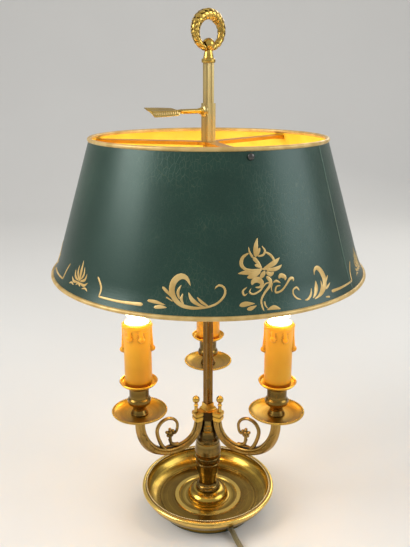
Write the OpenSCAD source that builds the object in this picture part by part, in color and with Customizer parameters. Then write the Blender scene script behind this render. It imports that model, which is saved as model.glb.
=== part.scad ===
// Bouillotte lamp: three candle lights on scrolled arms round a square stem, under a
// painted cone shade that slides on the stem and is clamped by an arrow-headed screw.
// Millimetres. The origin is on the table under the stem, +Z is up and -Y is the front.
// Azimuths are in degrees, counted from the front towards +X.

/* [Base] */
// Thickness of the felt under the foot
felt_t = 1.5; // [1:0.25:3]
// Outer radius of the foot skirt
foot_r = 57; // [52:0.5:64]
// How far the felt stays inside the foot skirt
felt_inset = 0.5; // [0:0.25:1.5]
// Height of the foot skirt between the felt and the dish
foot_h = 8; // [8:0.5:14]
// Thickness of the spun brass sheet
sheet_t = 1; // [0.8:0.1:1.2]
// How far the flat floor of the dish reaches past the foot skirt
floor_out = 1.5; // [1:0.5:4]
// How far the middle of the rolled rim stands out past the floor
rim_out = 16.1; // [13:0.1:22]
// Height of the middle of the rolled rim above the floor
rim_h = 16.5; // [12:0.5:24]
// Radius of the roll itself
rim_roll_r = 2.3; // [1.8:0.1:3]
// Middle radius of the raised ring on the floor
band_r = 36.5; // [33:0.5:45]
// Width of the raised ring
band_w = 6; // [4:0.5:8]
// Height of the raised ring
band_h = 1.2; // [0.8:0.1:2]
// How far the iron weight stays inside the foot skirt
weight_inset = 4; // [3.5:0.5:9]
// Radius of the hole in the iron weight
weight_hole_r = 16; // [14:0.5:17]

/* [Column] */
// Radius of the flange of the domed boss
boss_r = 25.4; // [20:0.2:30]
// Height of the domed boss
boss_h = 11; // [8:0.5:12]
// Largest radius of the collar
collar_r = 14; // [12:0.2:16]
// Height of the collar
collar_h = 8.1; // [7:0.1:11]
// Largest radius of the baluster
baluster_r = 15; // [13:0.2:16]
// Height of the baluster
baluster_h = 67.4; // [55:0.2:90]
// Height of the tapered neck
neck_h = 16; // [14:0.5:20]
// Radius of the threaded centre tube
tube_r = 5; // [4.6:0.1:5.1]
// Radius of the hole through the centre tube
tube_bore_r = 4; // [3.7:0.1:4.1]

/* [Hub] */
// Reach of each lobe of the hub from the axis
lobe_reach = 18.4; // [17.8:0.1:20]
// Width of each lobe
lobe_w = 11.4; // [11:0.2:13]
// Radius of the hub's core between the lobes
core_r = 9.8; // [9:0.2:11]
// Height of the hub body
hub_h = 6.4; // [6.2:0.2:9]
// Height of the hub cover
cover_h = 4.6; // [4:0.2:7]
// Radius at which the acorn screws stand
acorn_at_r = 15.4; // [15.2:0.1:15.8]
// Diameter of an acorn
acorn_d = 8.2; // [7:0.2:9]
// Height of an acorn screw above the cover
acorn_h = 20.5; // [17:0.5:24]
// Radius of an acorn screw's shank
acorn_shank_r = 1.5; // [1.2:0.1:1.8]
// Width of the stem's plinth at its foot
plinth_w = 13.4; // [13:0.2:15]
// Height of the stem's plinth
plinth_h = 8; // [7:0.5:12]

/* [Stem] */
// Side of the square stem
rod_w = 8.1; // [7.4:0.1:8.4]
// Height of the stem between its plinth and the finial
rod_h = 364.3; // [340:0.1:400]
// Turn of the square stem about its axis
rod_yaw = 36; // [30:1:45]
// Depth of the flute along each face of the stem
flute_depth = 0.6; // [0.3:0.1:0.8]
// Depth of the flute along each face of the carrier
carrier_flute = 0.35; // [0.2:0.05:0.45]
// Radius of the finial's collar
finial_collar_r = 6.45; // [6.2:0.05:8]
// Height of the finial from its collar to the top of its ball
finial_h = 22.6; // [22:0.2:27]
// Diameter of the finial's ball
finial_ball_d = 12.2; // [11:0.1:12.6]
// Radius of the middle of the ring handle
ring_r = 15.5; // [13:0.5:20]
// Radius of the ring handle's own section
ring_tube_r = 3.85; // [3:0.05:4.2]

/* [Arms] */
// Distance of each candle from the axis
arm_reach = 83.7; // [76:0.5:95]
// Distance at which each arm leaves the hub
arm_root_r = 11.6; // [11.4:0.2:12]
// Reach of the outer bend of an arm, from its lowest point to its candle
arm_bend = 39.7; // [35:0.1:44]
// Drop of the lowest point below the hub
arm_drop = 28.5; // [24:0.5:34]
// Height of the top of an arm above the underside of the hub
arm_rise = 27.3; // [22:0.1:36]
// Length of the upright end of an arm under its bobeche
arm_end = 12.4; // [12:0.1:16]
// Width of an arm's section
arm_w = 7.6; // [7:0.1:8.4]
// Depth of an arm's section
arm_d = 8; // [7.4:0.1:8.6]
// Radius of the wire channel in an arm
arm_bore_r = 2; // [1.8:0.1:2.2]
// Radius of the C-scroll inside an arm
curl_r = 13.6; // [11:0.2:15]
// Radius of the C-scroll's own section
curl_wire_r = 2.2; // [1.7:0.1:2.4]
// Diameter of a rosette
rosette_d = 12; // [8:0.5:12.5]

/* [Candles] */
// Radius of a bobeche
bobeche_r = 28.9; // [24:0.2:31]
// Depth of a bobeche
bobeche_dish = 4.2; // [3:0.2:6]
// Thickness of a bobeche
bobeche_t = 1.2; // [0.8:0.1:1.6]
// Height of a candle cup to the floor of its saucer
cup_h = 36; // [30:0.5:44]
// Radius of a candle cup's knop
knop_r = 12.4; // [11:0.2:14]
// Radius of a candle cup's saucer
saucer_r = 20; // [18:0.2:23]
// Height of the saucer's lip above its floor
saucer_dish = 2.8; // [2:0.2:4]
// Outer radius of a candle sleeve
candle_r = 14.2; // [14:0.1:15]
// Height of a candle sleeve
candle_h = 68; // [64:1:80]
// Wall of a candle sleeve
candle_wall = 0.9; // [0.7:0.1:1]
// How far the wax drips stand out
drip_out = 3; // [2:0.1:3.4]
// Radius of a cup nipple
nipple_r = 3.2; // [3:0.05:3.3]
// Radius of the hole through a cup nipple
nipple_bore_r = 2.2; // [2:0.1:2.4]
// Radius of a lampholder
holder_r = 12.8; // [12:0.1:12.9]
// Height of a lampholder's shell
holder_h = 50; // [48:0.5:54]
// Radius of a bulb's cap
cap_r = 6.9; // [6.5:0.1:7.2]
// Height of a bulb's cap
cap_h = 24; // [20:0.5:26]
// Largest radius of a bulb
bulb_r = 17.5; // [15:0.5:19]
// Height of a bulb's glass
bulb_h = 78; // [66:1:90]
// Wall of a bulb's glass
glass_t = 0.8; // [0.6:0.1:1.2]

/* [Shade] */
// Height of the underside of the spider above the table
spider_z = 418.7; // [414:0.1:424]
// Radius of the shade at its top rim
shade_top_r = 117.4; // [105:0.2:125]
// Radius of the shade at its bottom rim
shade_bottom_r = 160; // [150:0.5:175]
// Height of the shade between its rims
shade_h = 131.7; // [115:0.1:150]
// Thickness of the shade's sheet
shade_t = 0.8; // [0.6:0.1:1.2]
// Height of the flare above the bottom rim
flare_h = 20; // [12:1:30]
// How far the flare swings out
flare_out = 2.6; // [0:0.2:5]
// Radius of the roll of the shade's rims
shade_roll_r = 2; // [1.6:0.1:2.6]
// Height of the top rim above the underside of the spider
spider_drop = 7; // [6.8:0.1:9]
// Width of a spider leg
leg_w = 12; // [8:0.5:13]
// Thickness of a spider leg
leg_t = 3.4; // [2:0.1:3.6]
// Azimuth of the first spider leg
leg_az = 17; // [10:1:28]
// Radius of a shade screw's shank
shade_screw_r = 1.5; // [1.2:0.1:1.8]
// Radius of a shade screw's head
shade_head_r = 3; // [2.5:0.1:3.4]

/* [Carrier and arrow] */
// Outer side of the square carrier
carrier_w = 10.5; // [10:0.1:11.4]
// Length of the carrier
carrier_h = 36.6; // [35.8:0.1:50]
// Gap between the carrier and the stem on each side
slide_gap = 0.1; // [0.08:0.01:0.15]
// Height of the arrow screw above the foot of the carrier
arrow_up = 29.4; // [22:0.2:30]
// Radius of the carrier's boss
knob_r = 6; // [5:0.1:6.4]
// How far the boss stands out from the carrier
knob_out = 3; // [2.4:0.1:4]
// Radius of the arrow screw's shank
arrow_shank_r = 2; // [1.6:0.1:2.4]
// Gap between the arrow screw's shank and its bore
arrow_gap = 0.05; // [0.02:0.01:0.08]
// Length of the arrow from the carrier to its tip
arrow_l = 62; // [55:1:80]
// Length of the feathered part
feather_l = 33; // [28:1:40]
// Width of the feathered part
feather_w = 22; // [14:0.2:24]
// Thickness of the feathered part
feather_t = 3; // [2:0.1:3.6]
// Tilt of the feathers from the horizontal
feather_tilt = 22; // [0:1:60]

/* [Cord] */
// Diameter of the cord
cord_d = 6; // [5.6:0.1:6]
// Azimuth at which the cord leaves the foot
cord_az = 24.5; // [24.5:0.5:25]
// Length of the in-line switch
switch_l = 60; // [56:1:64]
// Width of the in-line switch
switch_w = 26; // [24:1:30]
// Height of the in-line switch
switch_h = 16; // [14:0.5:20]
// Length of the plug's body
plug_l = 36; // [32:1:38]
// Width of the plug's body
plug_w = 26; // [24:1:27]
// Thickness of the plug's body
plug_t = 13.6; // [13:0.1:14]
// Spacing of the plug's pins
pin_gap = 18.6; // [17.5:0.1:19]
// Length of the plug's pins
pin_l = 19; // [18:0.5:20]

/* [Hidden] */
$fn = 64;

// The three arms, and the side each one is on
ARM_AZ = [-60, 60, 180];
FRONT_LEFT = ARM_AZ[0];
FRONT_RIGHT = ARM_AZ[1];
BACK = ARM_AZ[2];
LEG_AZ = [leg_az, leg_az + 120, leg_az + 240];

// Clearances: a piece in its hole, and a thread shown without its turns
fit = 0.05;
tube_hole_r = tube_r + fit;
nipple_hole_r = nipple_r + fit;

// Radii that follow the foot, and the lowest point of an arm
felt_r = foot_r - felt_inset;
weight_r = foot_r - weight_inset;
floor_r = foot_r + floor_out;
rim_r = floor_r + rim_out;
arm_low_r = arm_reach - arm_bend;

// Heights, stacked from the table
z_skirt = felt_t;
z_sheet = z_skirt + foot_h;
z_floor = z_sheet + sheet_t;
z_collar = z_floor + boss_h;
z_baluster = z_collar + collar_h;
z_neck = z_baluster + baluster_h;
z_hub = z_neck + neck_h;
z_cover = z_hub + hub_h;
z_plinth = z_cover + cover_h;
z_rod = z_plinth + plinth_h;
z_finial = z_rod + rod_h;
z_ball = z_finial + finial_h - finial_ball_d / 2;
z_ring = z_ball + ring_r - 2.7;
z_arm_low = z_hub - arm_drop;
z_bobeche = z_hub + arm_rise;
z_cup = z_bobeche + bobeche_t;
z_saucer = z_cup + cup_h;
z_holder = z_saucer + 18.5;
z_cap = z_holder + holder_h - cap_h;
z_bulb = z_cap + cap_h;
z_shade_top = spider_z + spider_drop;
z_shade_bottom = z_shade_top - shade_h;
z_leg = spider_z + leg_t;
z_arrow = z_leg + arrow_up;

// The wiring's sizes
lead_r = 1.4;
lead_at_r = 2;
z_tube = z_skirt + 3.5;
channel_h = 3.2;
channel_w = 3.6;
z_channel = z_hub + 2;
z_lead = z_channel + channel_h / 2;
z_lead_low = z_skirt + lead_r + 0.2;
connector_r = 17;
connector_l = 12.5;
connector_w = 10;
connector_h = 7;

// The cord's sizes and route: round numbers, on the surface the lamp stands on
cord_r = cord_d / 2;
cord_sides = 8;
z_exit = 5.5;
bush_r = cord_r + 0.7;
bush_from_r = 34;
switch_x = 40;
switch_y = -185;
z_split = switch_h / 2;
coil_x = -70;
coil_y = -144;
coil_in_r = 23;
coil_out_r = 44;
coil_h = 12;
plug_x = -24;
plug_y = -108;
z_plug = plug_t / 2;

function along(az, r, z) = [r * sin(az), -r * cos(az), z];
TO_SWITCH = concat(
  [for (r = [30, 44, 58, 66]) along(cord_az, r, z_exit)],
  [
    [31, -70, 4], [34, -77, 3], [37.5, -86, 3], [45, -95, 3], [58, -100, 3], [72, -101, 3],
    [88, -101, 3], [106, -101, 3], [126, -103, 3], [144, -115, 3], [154, -134, 3], [152, -157, 3],
    [140, -174, 3], [122, -183, 3], [104, -185, 3.5], [88, -185, 6.5]
  ],
  [[switch_x + switch_l / 2 + 5, switch_y, z_split], [switch_x + switch_l / 2 - 3, switch_y, z_split]]
);
TO_COIL = [
  [switch_x - switch_l / 2 + 3, switch_y, z_split], [switch_x - switch_l / 2 - 5, switch_y, z_split],
  [-8, -185, 5], [-20, -185, 3.2], [-34, -185, 3], [-47.2, -185, 3]
];
TO_PLUG = [
  [-47, -103.8, 8.6], [-43, -104.4, 8.2], [-38, -105.9, 7.4], [plug_x - 7, plug_y, z_plug], [plug_x + 3, plug_y, z_plug]
];

// ---------- Curves ----------

function unit(v) = v / norm(v);

// Points of an arc about c, with radii rx and rz
function arc(c, rx, rz, a0, a1, n = 12) =
  [for (i = [0:n]) let (a = a0 + (a1 - a0) * i / n) c + [rx * cos(a), rz * sin(a)]];

// A smooth line through the points p, with n steps between neighbours
function smooth(p, n) = concat(
  [for (i = [0:len(p) - 2]) for (k = [0:n - 1])
    between(p[max(i - 1, 0)], p[i], p[i + 1], p[min(i + 2, len(p) - 1)], k / n)],
  [p[len(p) - 1]]
);
function between(a, b, c, d, t) =
  (2 * b + (c - a) * t + (2 * a - 5 * b + 4 * c - d) * t * t + (3 * b - a - 3 * c + d) * t * t * t) / 2;

// The points p moved sideways by t, to the left of their direction
function beside(p, t) = [for (i = [0:len(p) - 1])
  let (d = unit(p[min(i + 1, len(p) - 1)] - p[max(i - 1, 0)])) p[i] + t * [-d[1], d[0]]];
function backwards(p) = [for (i = [len(p) - 1:-1:0]) p[i]];
function sheet(p, t) = concat(p, backwards(beside(p, t)));

// Directions across a path in space, carried along it without twisting
function heading(p, i) = unit(p[min(i + 1, len(p) - 1)] - p[max(i - 1, 0)]);
function carried(p, n, i = 0) = i == len(p) ? [] :
  let (d = heading(p, i), m = unit(n - (n * d) * d)) concat([m], carried(p, m, i + 1));

// ---------- Solids used more than once ----------

// A solid through rings of points, closed at both ends
module loft(rings) {
  n = len(rings[0]);
  m = len(rings);
  polyhedron(
    points = [for (ring = rings) for (q = ring) q],
    faces = concat(
      [[for (i = [0:n - 1]) i]],
      [for (j = [0:m - 2]) for (i = [0:n - 1]) [j * n + i, (j + 1) * n + i, (j + 1) * n + (i + 1) % n]],
      [for (j = [0:m - 2]) for (i = [0:n - 1]) [j * n + i, (j + 1) * n + (i + 1) % n, j * n + (i + 1) % n]],
      [[for (i = [n - 1:-1:0]) (m - 1) * n + i]]
    )
  );
}

// A bar of the given section carried along a line in the x-z plane; size holds one scale per point
module plane_bar(line, section, size = []) {
  loft([for (i = [0:len(line) - 1])
    let (d = heading(line, i), s = len(size) == 0 ? 1 : size[i])
    [for (q = section) [line[i][0] - s * q[1] * d[1], s * q[0], line[i][1] + s * q[1] * d[0]]]]);
}
function round_section(r, sides) = [for (k = [0:sides - 1]) r * [cos(360 * k / sides), sin(360 * k / sides)]];

// A round tube along a path in space
module space_tube(path, r, sides, first = [0, 0, 1]) {
  across = carried(path, first);
  loft([for (i = [0:len(path) - 1])
    let (d = heading(path, i), n = across[i], b = cross(d, n))
    [for (k = [0:sides - 1]) path[i] + r * (cos(360 * k / sides) * n - sin(360 * k / sides) * b)]]);
}

// Puts its children out along an azimuth, their +X pointing away from the axis
module out_at(az, r = 0, z = 0) { rotate([0, 0, az - 90]) translate([r, 0, z]) children(); }
module ring_of(r_in, r_out, h) {
  difference() {
    cylinder(r = r_out, h = h);
    translate([0, 0, -1]) cylinder(r = r_in, h = h + 2);
  }
}
module radial_rod(r, from_r, to_r) { translate([from_r, 0, 0]) rotate([0, 90, 0]) cylinder(r = r, h = to_r - from_r); }

// ---------- Base ----------

module base_felt() {
  color("darkgreen") cylinder(r = felt_r, h = felt_t);
}

// Slot for the connector and the cord bush, from the middle out to the skirt
module weight_slot() {
  out_at(cord_az, 0, z_skirt - 1) translate([0, -connector_w / 2 - 0.3, 0])
    cube([foot_r, connector_w + 0.6, foot_h + 2]);
}
module base_weight() {
  color("dimgray") difference() {
    translate([0, 0, z_skirt]) cylinder(r = weight_r, h = foot_h);
    translate([0, 0, z_skirt - 1]) cylinder(r = weight_hole_r, h = foot_h + 2);
    weight_slot();
  }
}

function dish_line() = concat(
  [[tube_hole_r, z_sheet], [floor_r - 3, z_sheet]],
  arc([floor_r - 3, z_sheet + rim_h + sheet_t], rim_r - floor_r + 3, rim_h + sheet_t, -84, -6, 14)
);
module base_dish() {
  wall = dish_line();
  color("goldenrod") difference() {
    rotate_extrude() {
      polygon(sheet(wall, sheet_t));
      translate([rim_r, z_floor + rim_h]) circle(r = rim_roll_r, $fn = 24);
      polygon([
        [foot_r - 2, z_sheet + 0.5], [foot_r - 2.6, z_sheet - 2], [foot_r - 1.2, z_skirt],
        [foot_r, z_skirt], [foot_r - 0.8, z_sheet - 2.5], [foot_r + 0.6, z_sheet + 0.5]
      ]);
      polygon([
        [band_r - band_w / 2, z_floor - 0.4], [band_r + band_w / 2, z_floor - 0.4], [band_r + band_w / 2, z_floor],
        [band_r + band_w / 2 - 0.8, z_floor + band_h], [band_r - band_w / 2 + 0.8, z_floor + band_h],
        [band_r - band_w / 2, z_floor]
      ]);
    }
    out_at(cord_az, 0, z_exit) {
      radial_rod(bush_r + fit, foot_r - 6, foot_r + 6);
      translate([foot_r - 6, -bush_r - fit, z_skirt - z_exit - 1]) cube([12, 2 * (bush_r + fit), z_exit - z_skirt + 1]);
    }
  }
}

module base_nut() {
  color("darkkhaki") {
    translate([0, 0, z_sheet - 1.2]) ring_of(tube_hole_r, 11, 1.2);
    translate([0, 0, z_tube + 0.3]) difference() {
      cylinder(r = 8.1, h = z_sheet - 1.5 - z_tube, $fn = 6);
      translate([0, 0, -1]) cylinder(r = tube_hole_r, h = foot_h);
    }
  }
}

module centre_tube() {
  color("darkkhaki") difference() {
    translate([0, 0, z_tube]) ring_of(tube_bore_r, tube_r, z_plinth + 3.5 - z_tube);
    for (az = ARM_AZ) out_at(az, 0, z_channel) translate([0, -channel_w / 2, 0])
      cube([tube_r + 1, channel_w, channel_h]);
  }
}

// ---------- Column ----------

// A turned piece with the tube's hole: profile is a list of [radius, height]
module turned(profile, z, bore = tube_hole_r) {
  translate([0, 0, z]) rotate_extrude() polygon(concat(
    [[bore, profile[0][1]]], profile, [[bore, profile[len(profile) - 1][1]]]
  ));
}

module boss_dome() {
  color("goldenrod") turned(concat(
    [[boss_r, 0], [boss_r, 0.8], [boss_r - 1.6, 1.2]],
    arc([collar_r - 0.7, 1.2], boss_r - 1.6 - collar_r + 0.7, boss_h - 1.2, 12, 90)
  ), z_floor);
}

module column_collar() {
  k = collar_r / 14;
  h = collar_h / 10.6;
  color("darkgoldenrod") turned([
    [13 * k, 0], [13.7 * k, 0.9 * h], [14 * k, 2.6 * h], [13.5 * k, 4.3 * h], [12.7 * k, 5 * h],
    [12.7 * k, 6.6 * h], [12.2 * k, 7.4 * h], [10.6 * k, 8.6 * h], [9.9 * k, 10.6 * h]
  ], z_collar);
}

module column_baluster() {
  k = baluster_r / 15;
  h = baluster_h / 67.4;
  profile = [
    [10.2, 0], [9.9, 2], [10, 3.6], [10.8, 8], [12, 14], [12.9, 20], [13.5, 24.6], [14, 25.4], [14, 26.8], [13.5, 27.4],
    [13.7, 28], [14.1, 31], [14.6, 31.8], [14.6, 34.4], [14.1, 35.2], [14.4, 36.4], [15, 40], [14.9, 45], [14.2, 50],
    [13.5, 53.4], [12.8, 54], [12.8, 55.2], [13.3, 56], [13.4, 57.4], [12.9, 58.4], [12, 59.4], [11.4, 60.4],
    [11.6, 61.4], [11.4, 62.6], [10.9, 64], [10.6, 65.6], [10.2, 67.4]
  ];
  color("darkgoldenrod") turned([for (q = profile) [q[0] * k, q[1] * h]], z_baluster);
}

module column_neck() {
  h = neck_h / 11.5;
  k = baluster_r / 15;
  color("darkgoldenrod") turned([
    [10.2 * k, 0], [10.2 * k, 1 * h], [9 * k, 1.8 * h], [8.9 * k, 3.4 * h], [8.4 * k, 3.8 * h], [8 * k, 5.8 * h],
    [7.3 * k, 6.3 * h], [6.8 * k, 9 * h], [6.7 * k, 10.4 * h], [6.9 * k, 10.8 * h], [6.9 * k, 11.5 * h]
  ], z_neck);
}

// ---------- Hub ----------

// One layer of the three-lobed moulding: lobes with clipped corners round a plain core
module layer(grow, z, h) {
  reach = lobe_reach + grow;
  half = lobe_w / 2 + grow;
  translate([0, 0, z]) linear_extrude(h) union() {
    circle(r = core_r);
    for (az = ARM_AZ) rotate(az - 90) polygon([
      [0, -half], [reach - 1.2, -half], [reach, 1.2 - half], [reach, half - 1.2], [reach - 1.2, half], [0, half]
    ]);
  }
}

module hub_body() {
  socket = arm_w + 2 * fit;
  socket_d = arm_d + 2 * fit;
  color("goldenrod") difference() {
    union() {
      layer(-1, z_hub, 1.8);
      layer(-0.3, z_hub + 1.8, hub_h - 3.2);
      layer(-0.9, z_hub + hub_h - 1.4, 1.4);
    }
    translate([0, 0, z_hub - 1]) cylinder(r = tube_hole_r, h = hub_h + 2);
    for (az = ARM_AZ) out_at(az) {
      translate([arm_root_r - socket_d / 2, -socket / 2, z_hub - 1]) cube([socket_d, socket, z_channel - z_hub + 1]);
      translate([0, -channel_w / 2, z_channel]) cube([arm_root_r + channel_w / 2, channel_w, channel_h]);
      translate([acorn_at_r, 0, z_cover - 2.4]) cylinder(r = acorn_shank_r + fit, h = 4);
    }
  }
}

module hub_cover() {
  color("goldenrod") difference() {
    union() {
      layer(-1.2, z_cover, 0.8);
      layer(0, z_cover + 0.8, cover_h - 1.6);
      layer(-0.3, z_plinth - 0.8, 0.8);
    }
    translate([0, 0, z_cover - 1]) cylinder(r = tube_hole_r, h = cover_h + 2);
    for (az = ARM_AZ) out_at(az, acorn_at_r, z_cover - 1) cylinder(r = acorn_shank_r + fit, h = cover_h + 2);
  }
}

// Acorns on slim stalks, screwed down through the cover
module acorn_screws() {
  r = acorn_d / 2;
  h = acorn_h;
  color("gold") for (az = ARM_AZ) out_at(az, acorn_at_r, z_plinth) {
    translate([0, 0, -cover_h - 2.2]) cylinder(r = acorn_shank_r, h = cover_h + 2.4);
    rotate_extrude($fn = 32) polygon(concat(
      [
        [0, 0], [r * 0.57, 0], [r * 0.57, h * 0.05], [r * 0.5, h * 0.12], [r * 0.47, h * 0.34], [r * 0.62, h * 0.38],
        [r * 0.62, h * 0.43], [r * 0.44, h * 0.47]
      ],
      arc([0, h - r * 1.05 - 0.6], r, r * 1.05, -62, 76, 12), [[0.45, h], [0, h]]
    ));
  }
}

// Outline of a fluted square bar
module fluted_square(w, depth) {
  flute_r = 1.9;
  difference() {
    square(w, center = true);
    for (a = [0:90:270]) rotate(a) translate([w / 2 + flute_r - depth, 0]) circle(r = flute_r, $fn = 24);
    for (a = [0:90:270]) rotate(a + 45) translate([w / sqrt(2) - 0.35, -w / 2]) square(w);
  }
}

module plinth_side() {
  w = plinth_w / 2;
  top = rod_w / 2 + 0.7;
  h = plinth_h;
  rotate([90, 0, 0]) linear_extrude(plinth_w + 2, center = true) polygon(concat(
    [[-w, 0]], [[w, 0]],
    arc([w, h * 0.92], w - top, h * 0.88, -90, -180, 8),
    [[top, h], [-top, h]],
    arc([-w, h * 0.92], w - top, h * 0.88, 0, -90, 8)
  ));
}

socket_depth = 3.5;
module rod_plinth() {
  color("goldenrod") difference() {
    translate([0, 0, z_plinth]) rotate([0, 0, rod_yaw - 90]) intersection() {
      plinth_side();
      rotate([0, 0, 90]) plinth_side();
    }
    translate([0, 0, z_plinth - 1]) cylinder(r = tube_hole_r, h = 5);
    translate([0, 0, z_rod - socket_depth]) rotate([0, 0, rod_yaw - 90])
      linear_extrude(socket_depth + 1) square(rod_w + 2 * fit, center = true);
  }
}

finial_socket = 2;
module stem_rod() {
  color("darkkhaki") translate([0, 0, z_rod - socket_depth]) rotate([0, 0, rod_yaw - 90])
    linear_extrude(rod_h + socket_depth + finial_socket) fluted_square(rod_w, flute_depth);
}

// ---------- Finial ----------

module ring_shape(r) {
  translate([0, 0, z_ring]) rotate([0, 0, rod_yaw]) rotate([90, 0, 0])
    rotate_extrude() translate([ring_r, 0]) circle(r = r, $fn = 32);
}

module finial_base() {
  c = finial_collar_r;
  b = finial_ball_d / 2;
  h = finial_h;
  cone_top = h - 2 * b + 0.8;
  color("goldenrod") difference() {
    translate([0, 0, z_finial]) rotate_extrude() polygon(concat(
      [
        [0, 0], [c, 0], [c + 0.3, 1], [c + 0.3, 3], [c - 0.2, 3.7], [c - 1.3, 4.1], [c - 1.4, 4.8],
        [c - 1.9, cone_top * 0.66], [c - 2.6, cone_top * 0.93], [b * 0.6, cone_top]
      ],
      arc([0, h - b], b, b, -50, 90, 14)
    ));
    ring_shape(ring_tube_r + fit);
    translate([0, 0, z_finial - 1]) rotate([0, 0, rod_yaw - 90])
      linear_extrude(finial_socket + 1) square(rod_w + 2 * fit, center = true);
  }
}

module finial_ring() {
  color("goldenrod") ring_shape(ring_tube_r);
}

// ---------- Arms ----------

arm_top = z_bobeche;
arm_left_z = z_channel;
arm_right_z = arm_top - arm_end;
// Centreline of an arm: a squarish quarter down from the hub, then a round quarter up to the cup
function arm_line(steps = 16) = concat(
  [for (i = [0:steps]) let (t = 90 * i / steps) [
    arm_low_r - (arm_low_r - arm_root_r) * pow(cos(t), 0.88),
    arm_left_z - (arm_left_z - z_arm_low) * pow(sin(t), 0.88)
  ]],
  [for (i = [1:steps]) let (t = 90 * i / steps) [
    arm_low_r + arm_bend * sin(t),
    arm_right_z - (arm_right_z - z_arm_low) * cos(t)
  ]],
  [[arm_reach, arm_top]]
);
// An arm is stouter near its candle
function arm_sizes(line) = [for (q = line) 1 + 0.24 * exp(-pow((q[0] - arm_reach * 0.93) / 11, 2))];
function arm_section(w, d) = [
  [-w, -d * 0.55], [-w * 0.78, -d], [w * 0.78, -d], [w, -d * 0.55], [w * 0.84, 0], [w, d * 0.55],
  [w * 0.78, d], [w * 0.34, d], [0, d * 0.82], [-w * 0.34, d], [-w * 0.78, d], [-w, d * 0.55], [-w * 0.84, 0]
];
module arm(az) {
  line = arm_line();
  color("darkgoldenrod") out_at(az) difference() {
    plane_bar(line, arm_section(arm_w / 2, arm_d / 2), arm_sizes(line));
    plane_bar(concat([[arm_root_r, arm_left_z + 1]], line, [[arm_reach, arm_top + 1]]), round_section(arm_bore_r, 8));
    translate([arm_reach, 0, arm_top - 12]) cylinder(r = nipple_hole_r, h = 13);
  }
}

// A place beside the arm's lowest point, in the arm's own plane; it grows with the scroll
function near_low(out, up) = [arm_low_r, z_arm_low] + curl_r / 13.6 * [out, up];
curl_at = near_low(6.6, 28.4);
function curl_line() = smooth(concat(
  [near_low(11, 4.6), near_low(15.4, 11.4)],
  [for (a = [-22:37:200]) curl_at + curl_r * (1.02 - 0.18 * (a + 22) / 222) * [cos(a), sin(a)]]
), 4);
rosette_at = near_low(4.5, 23);
function stalk_line() = smooth([near_low(-5, 5.6), near_low(0.5, 7.6), near_low(4.3, 12), near_low(4.5, 22)], 4);
// The strip that follows the top of the arm from the hub to the foot of the stalk
function strip_line() = beside(
  [for (q = arm_line()) if (q[0] < arm_low_r - 1 && q[1] < z_hub - 0.5) q], arm_d / 2 + 0.9
);
module scroll(az) {
  strip = strip_line();
  curl = curl_line();
  stalk = stalk_line();
  color("darkgoldenrod") out_at(az) difference() {
    union() {
      plane_bar(curl, round_section(curl_wire_r, 8), [for (i = [0:len(curl) - 1]) 1.05 - 0.25 * i / len(curl)]);
      plane_bar(stalk, round_section(2.1, 8), [for (i = [0:len(stalk) - 1]) 1.2 - 0.5 * i / len(stalk)]);
      plane_bar(strip, [[-1.8, -1.1], [1.8, -1.1], [1.8, 1.1], [-1.8, 1.1]]);
    }
    plane_bar(arm_line(), arm_section(arm_w / 2, arm_d / 2), arm_sizes(arm_line()));
    translate([rosette_at[0], 0, rosette_at[1]]) flower(fit);
  }
}

// A ball with five round petals; grow widens it where it is cut out of its stalk
module flower(grow = 0) {
  sphere(r = rosette_d * 0.24 + grow, $fn = 32);
  for (a = [18:72:306]) rotate([0, a, 0]) translate([rosette_d * 0.31, 0, 0])
    sphere(r = rosette_d * 0.19 + grow, $fn = 24);
}
module rosettes() {
  color("gold") for (az = ARM_AZ) out_at(az) translate([rosette_at[0], 0, rosette_at[1]]) flower();
}

// ---------- Candles ----------

edge_r = 0.9;
module bobeche(az) {
  line = concat(
    [[nipple_hole_r, 0], [11, 0]],
    arc([11, bobeche_dish * 1.6], (bobeche_r - edge_r - 11) / cos(22), bobeche_dish * 1.6, -86, -22, 8)
  );
  color("goldenrod") out_at(az, arm_reach, z_bobeche) rotate_extrude() {
    polygon(sheet(line, bobeche_t));
    translate([bobeche_r - edge_r, bobeche_dish + 0.3]) circle(r = edge_r, $fn = 16);
  }
}

module candle_cup(az) {
  h = cup_h / 36;
  k = knop_r / 12.4;
  lip = saucer_r;
  color("darkgoldenrod") out_at(az, arm_reach) turned(concat(
    [
      [8.9 * k, 0], [9.1 * k, 1.4 * h], [8.4 * k, 2.8 * h], [7 * k, 5.6 * h], [6.7 * k, 8 * h], [7.6 * k, 9.4 * h],
      [7.6 * k, 10.2 * h], [9.6 * k, 11.2 * h], [11.8 * k, 13.2 * h], [12.4 * k, 15.8 * h], [11.8 * k, 18.4 * h],
      [10.6 * k, 20 * h], [10.3 * k, 21 * h], [10.4 * k, 30.6 * h], [11 * k, cup_h - 3.6]
    ],
    arc([11 * k, cup_h + saucer_dish - 0.6], lip - 11 * k - 0.6, saucer_dish + 1.4, -80, 0, 8),
    [[lip, cup_h + saucer_dish], [lip - 0.5, cup_h + saucer_dish + 0.5], [lip - 1.3, cup_h + saucer_dish]],
    arc([candle_r + 1.6, cup_h + saucer_dish], lip - candle_r - 3, saucer_dish, 0, -90, 6),
    [[candle_r + fit, cup_h], [nipple_hole_r, cup_h]]
  ), z_cup, nipple_hole_r);
}

module cup_nipples() {
  foot = arm_top - 11;
  color("darkkhaki") for (az = ARM_AZ) out_at(az, arm_reach) {
    translate([0, 0, foot]) ring_of(nipple_bore_r, nipple_r, z_holder + 3 - foot);
    translate([0, 0, z_saucer]) difference() {
      cylinder(r = nipple_r + 3.2, h = 4, $fn = 6);
      translate([0, 0, -1]) cylinder(r = nipple_hole_r, h = 6);
    }
  }
}

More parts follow.
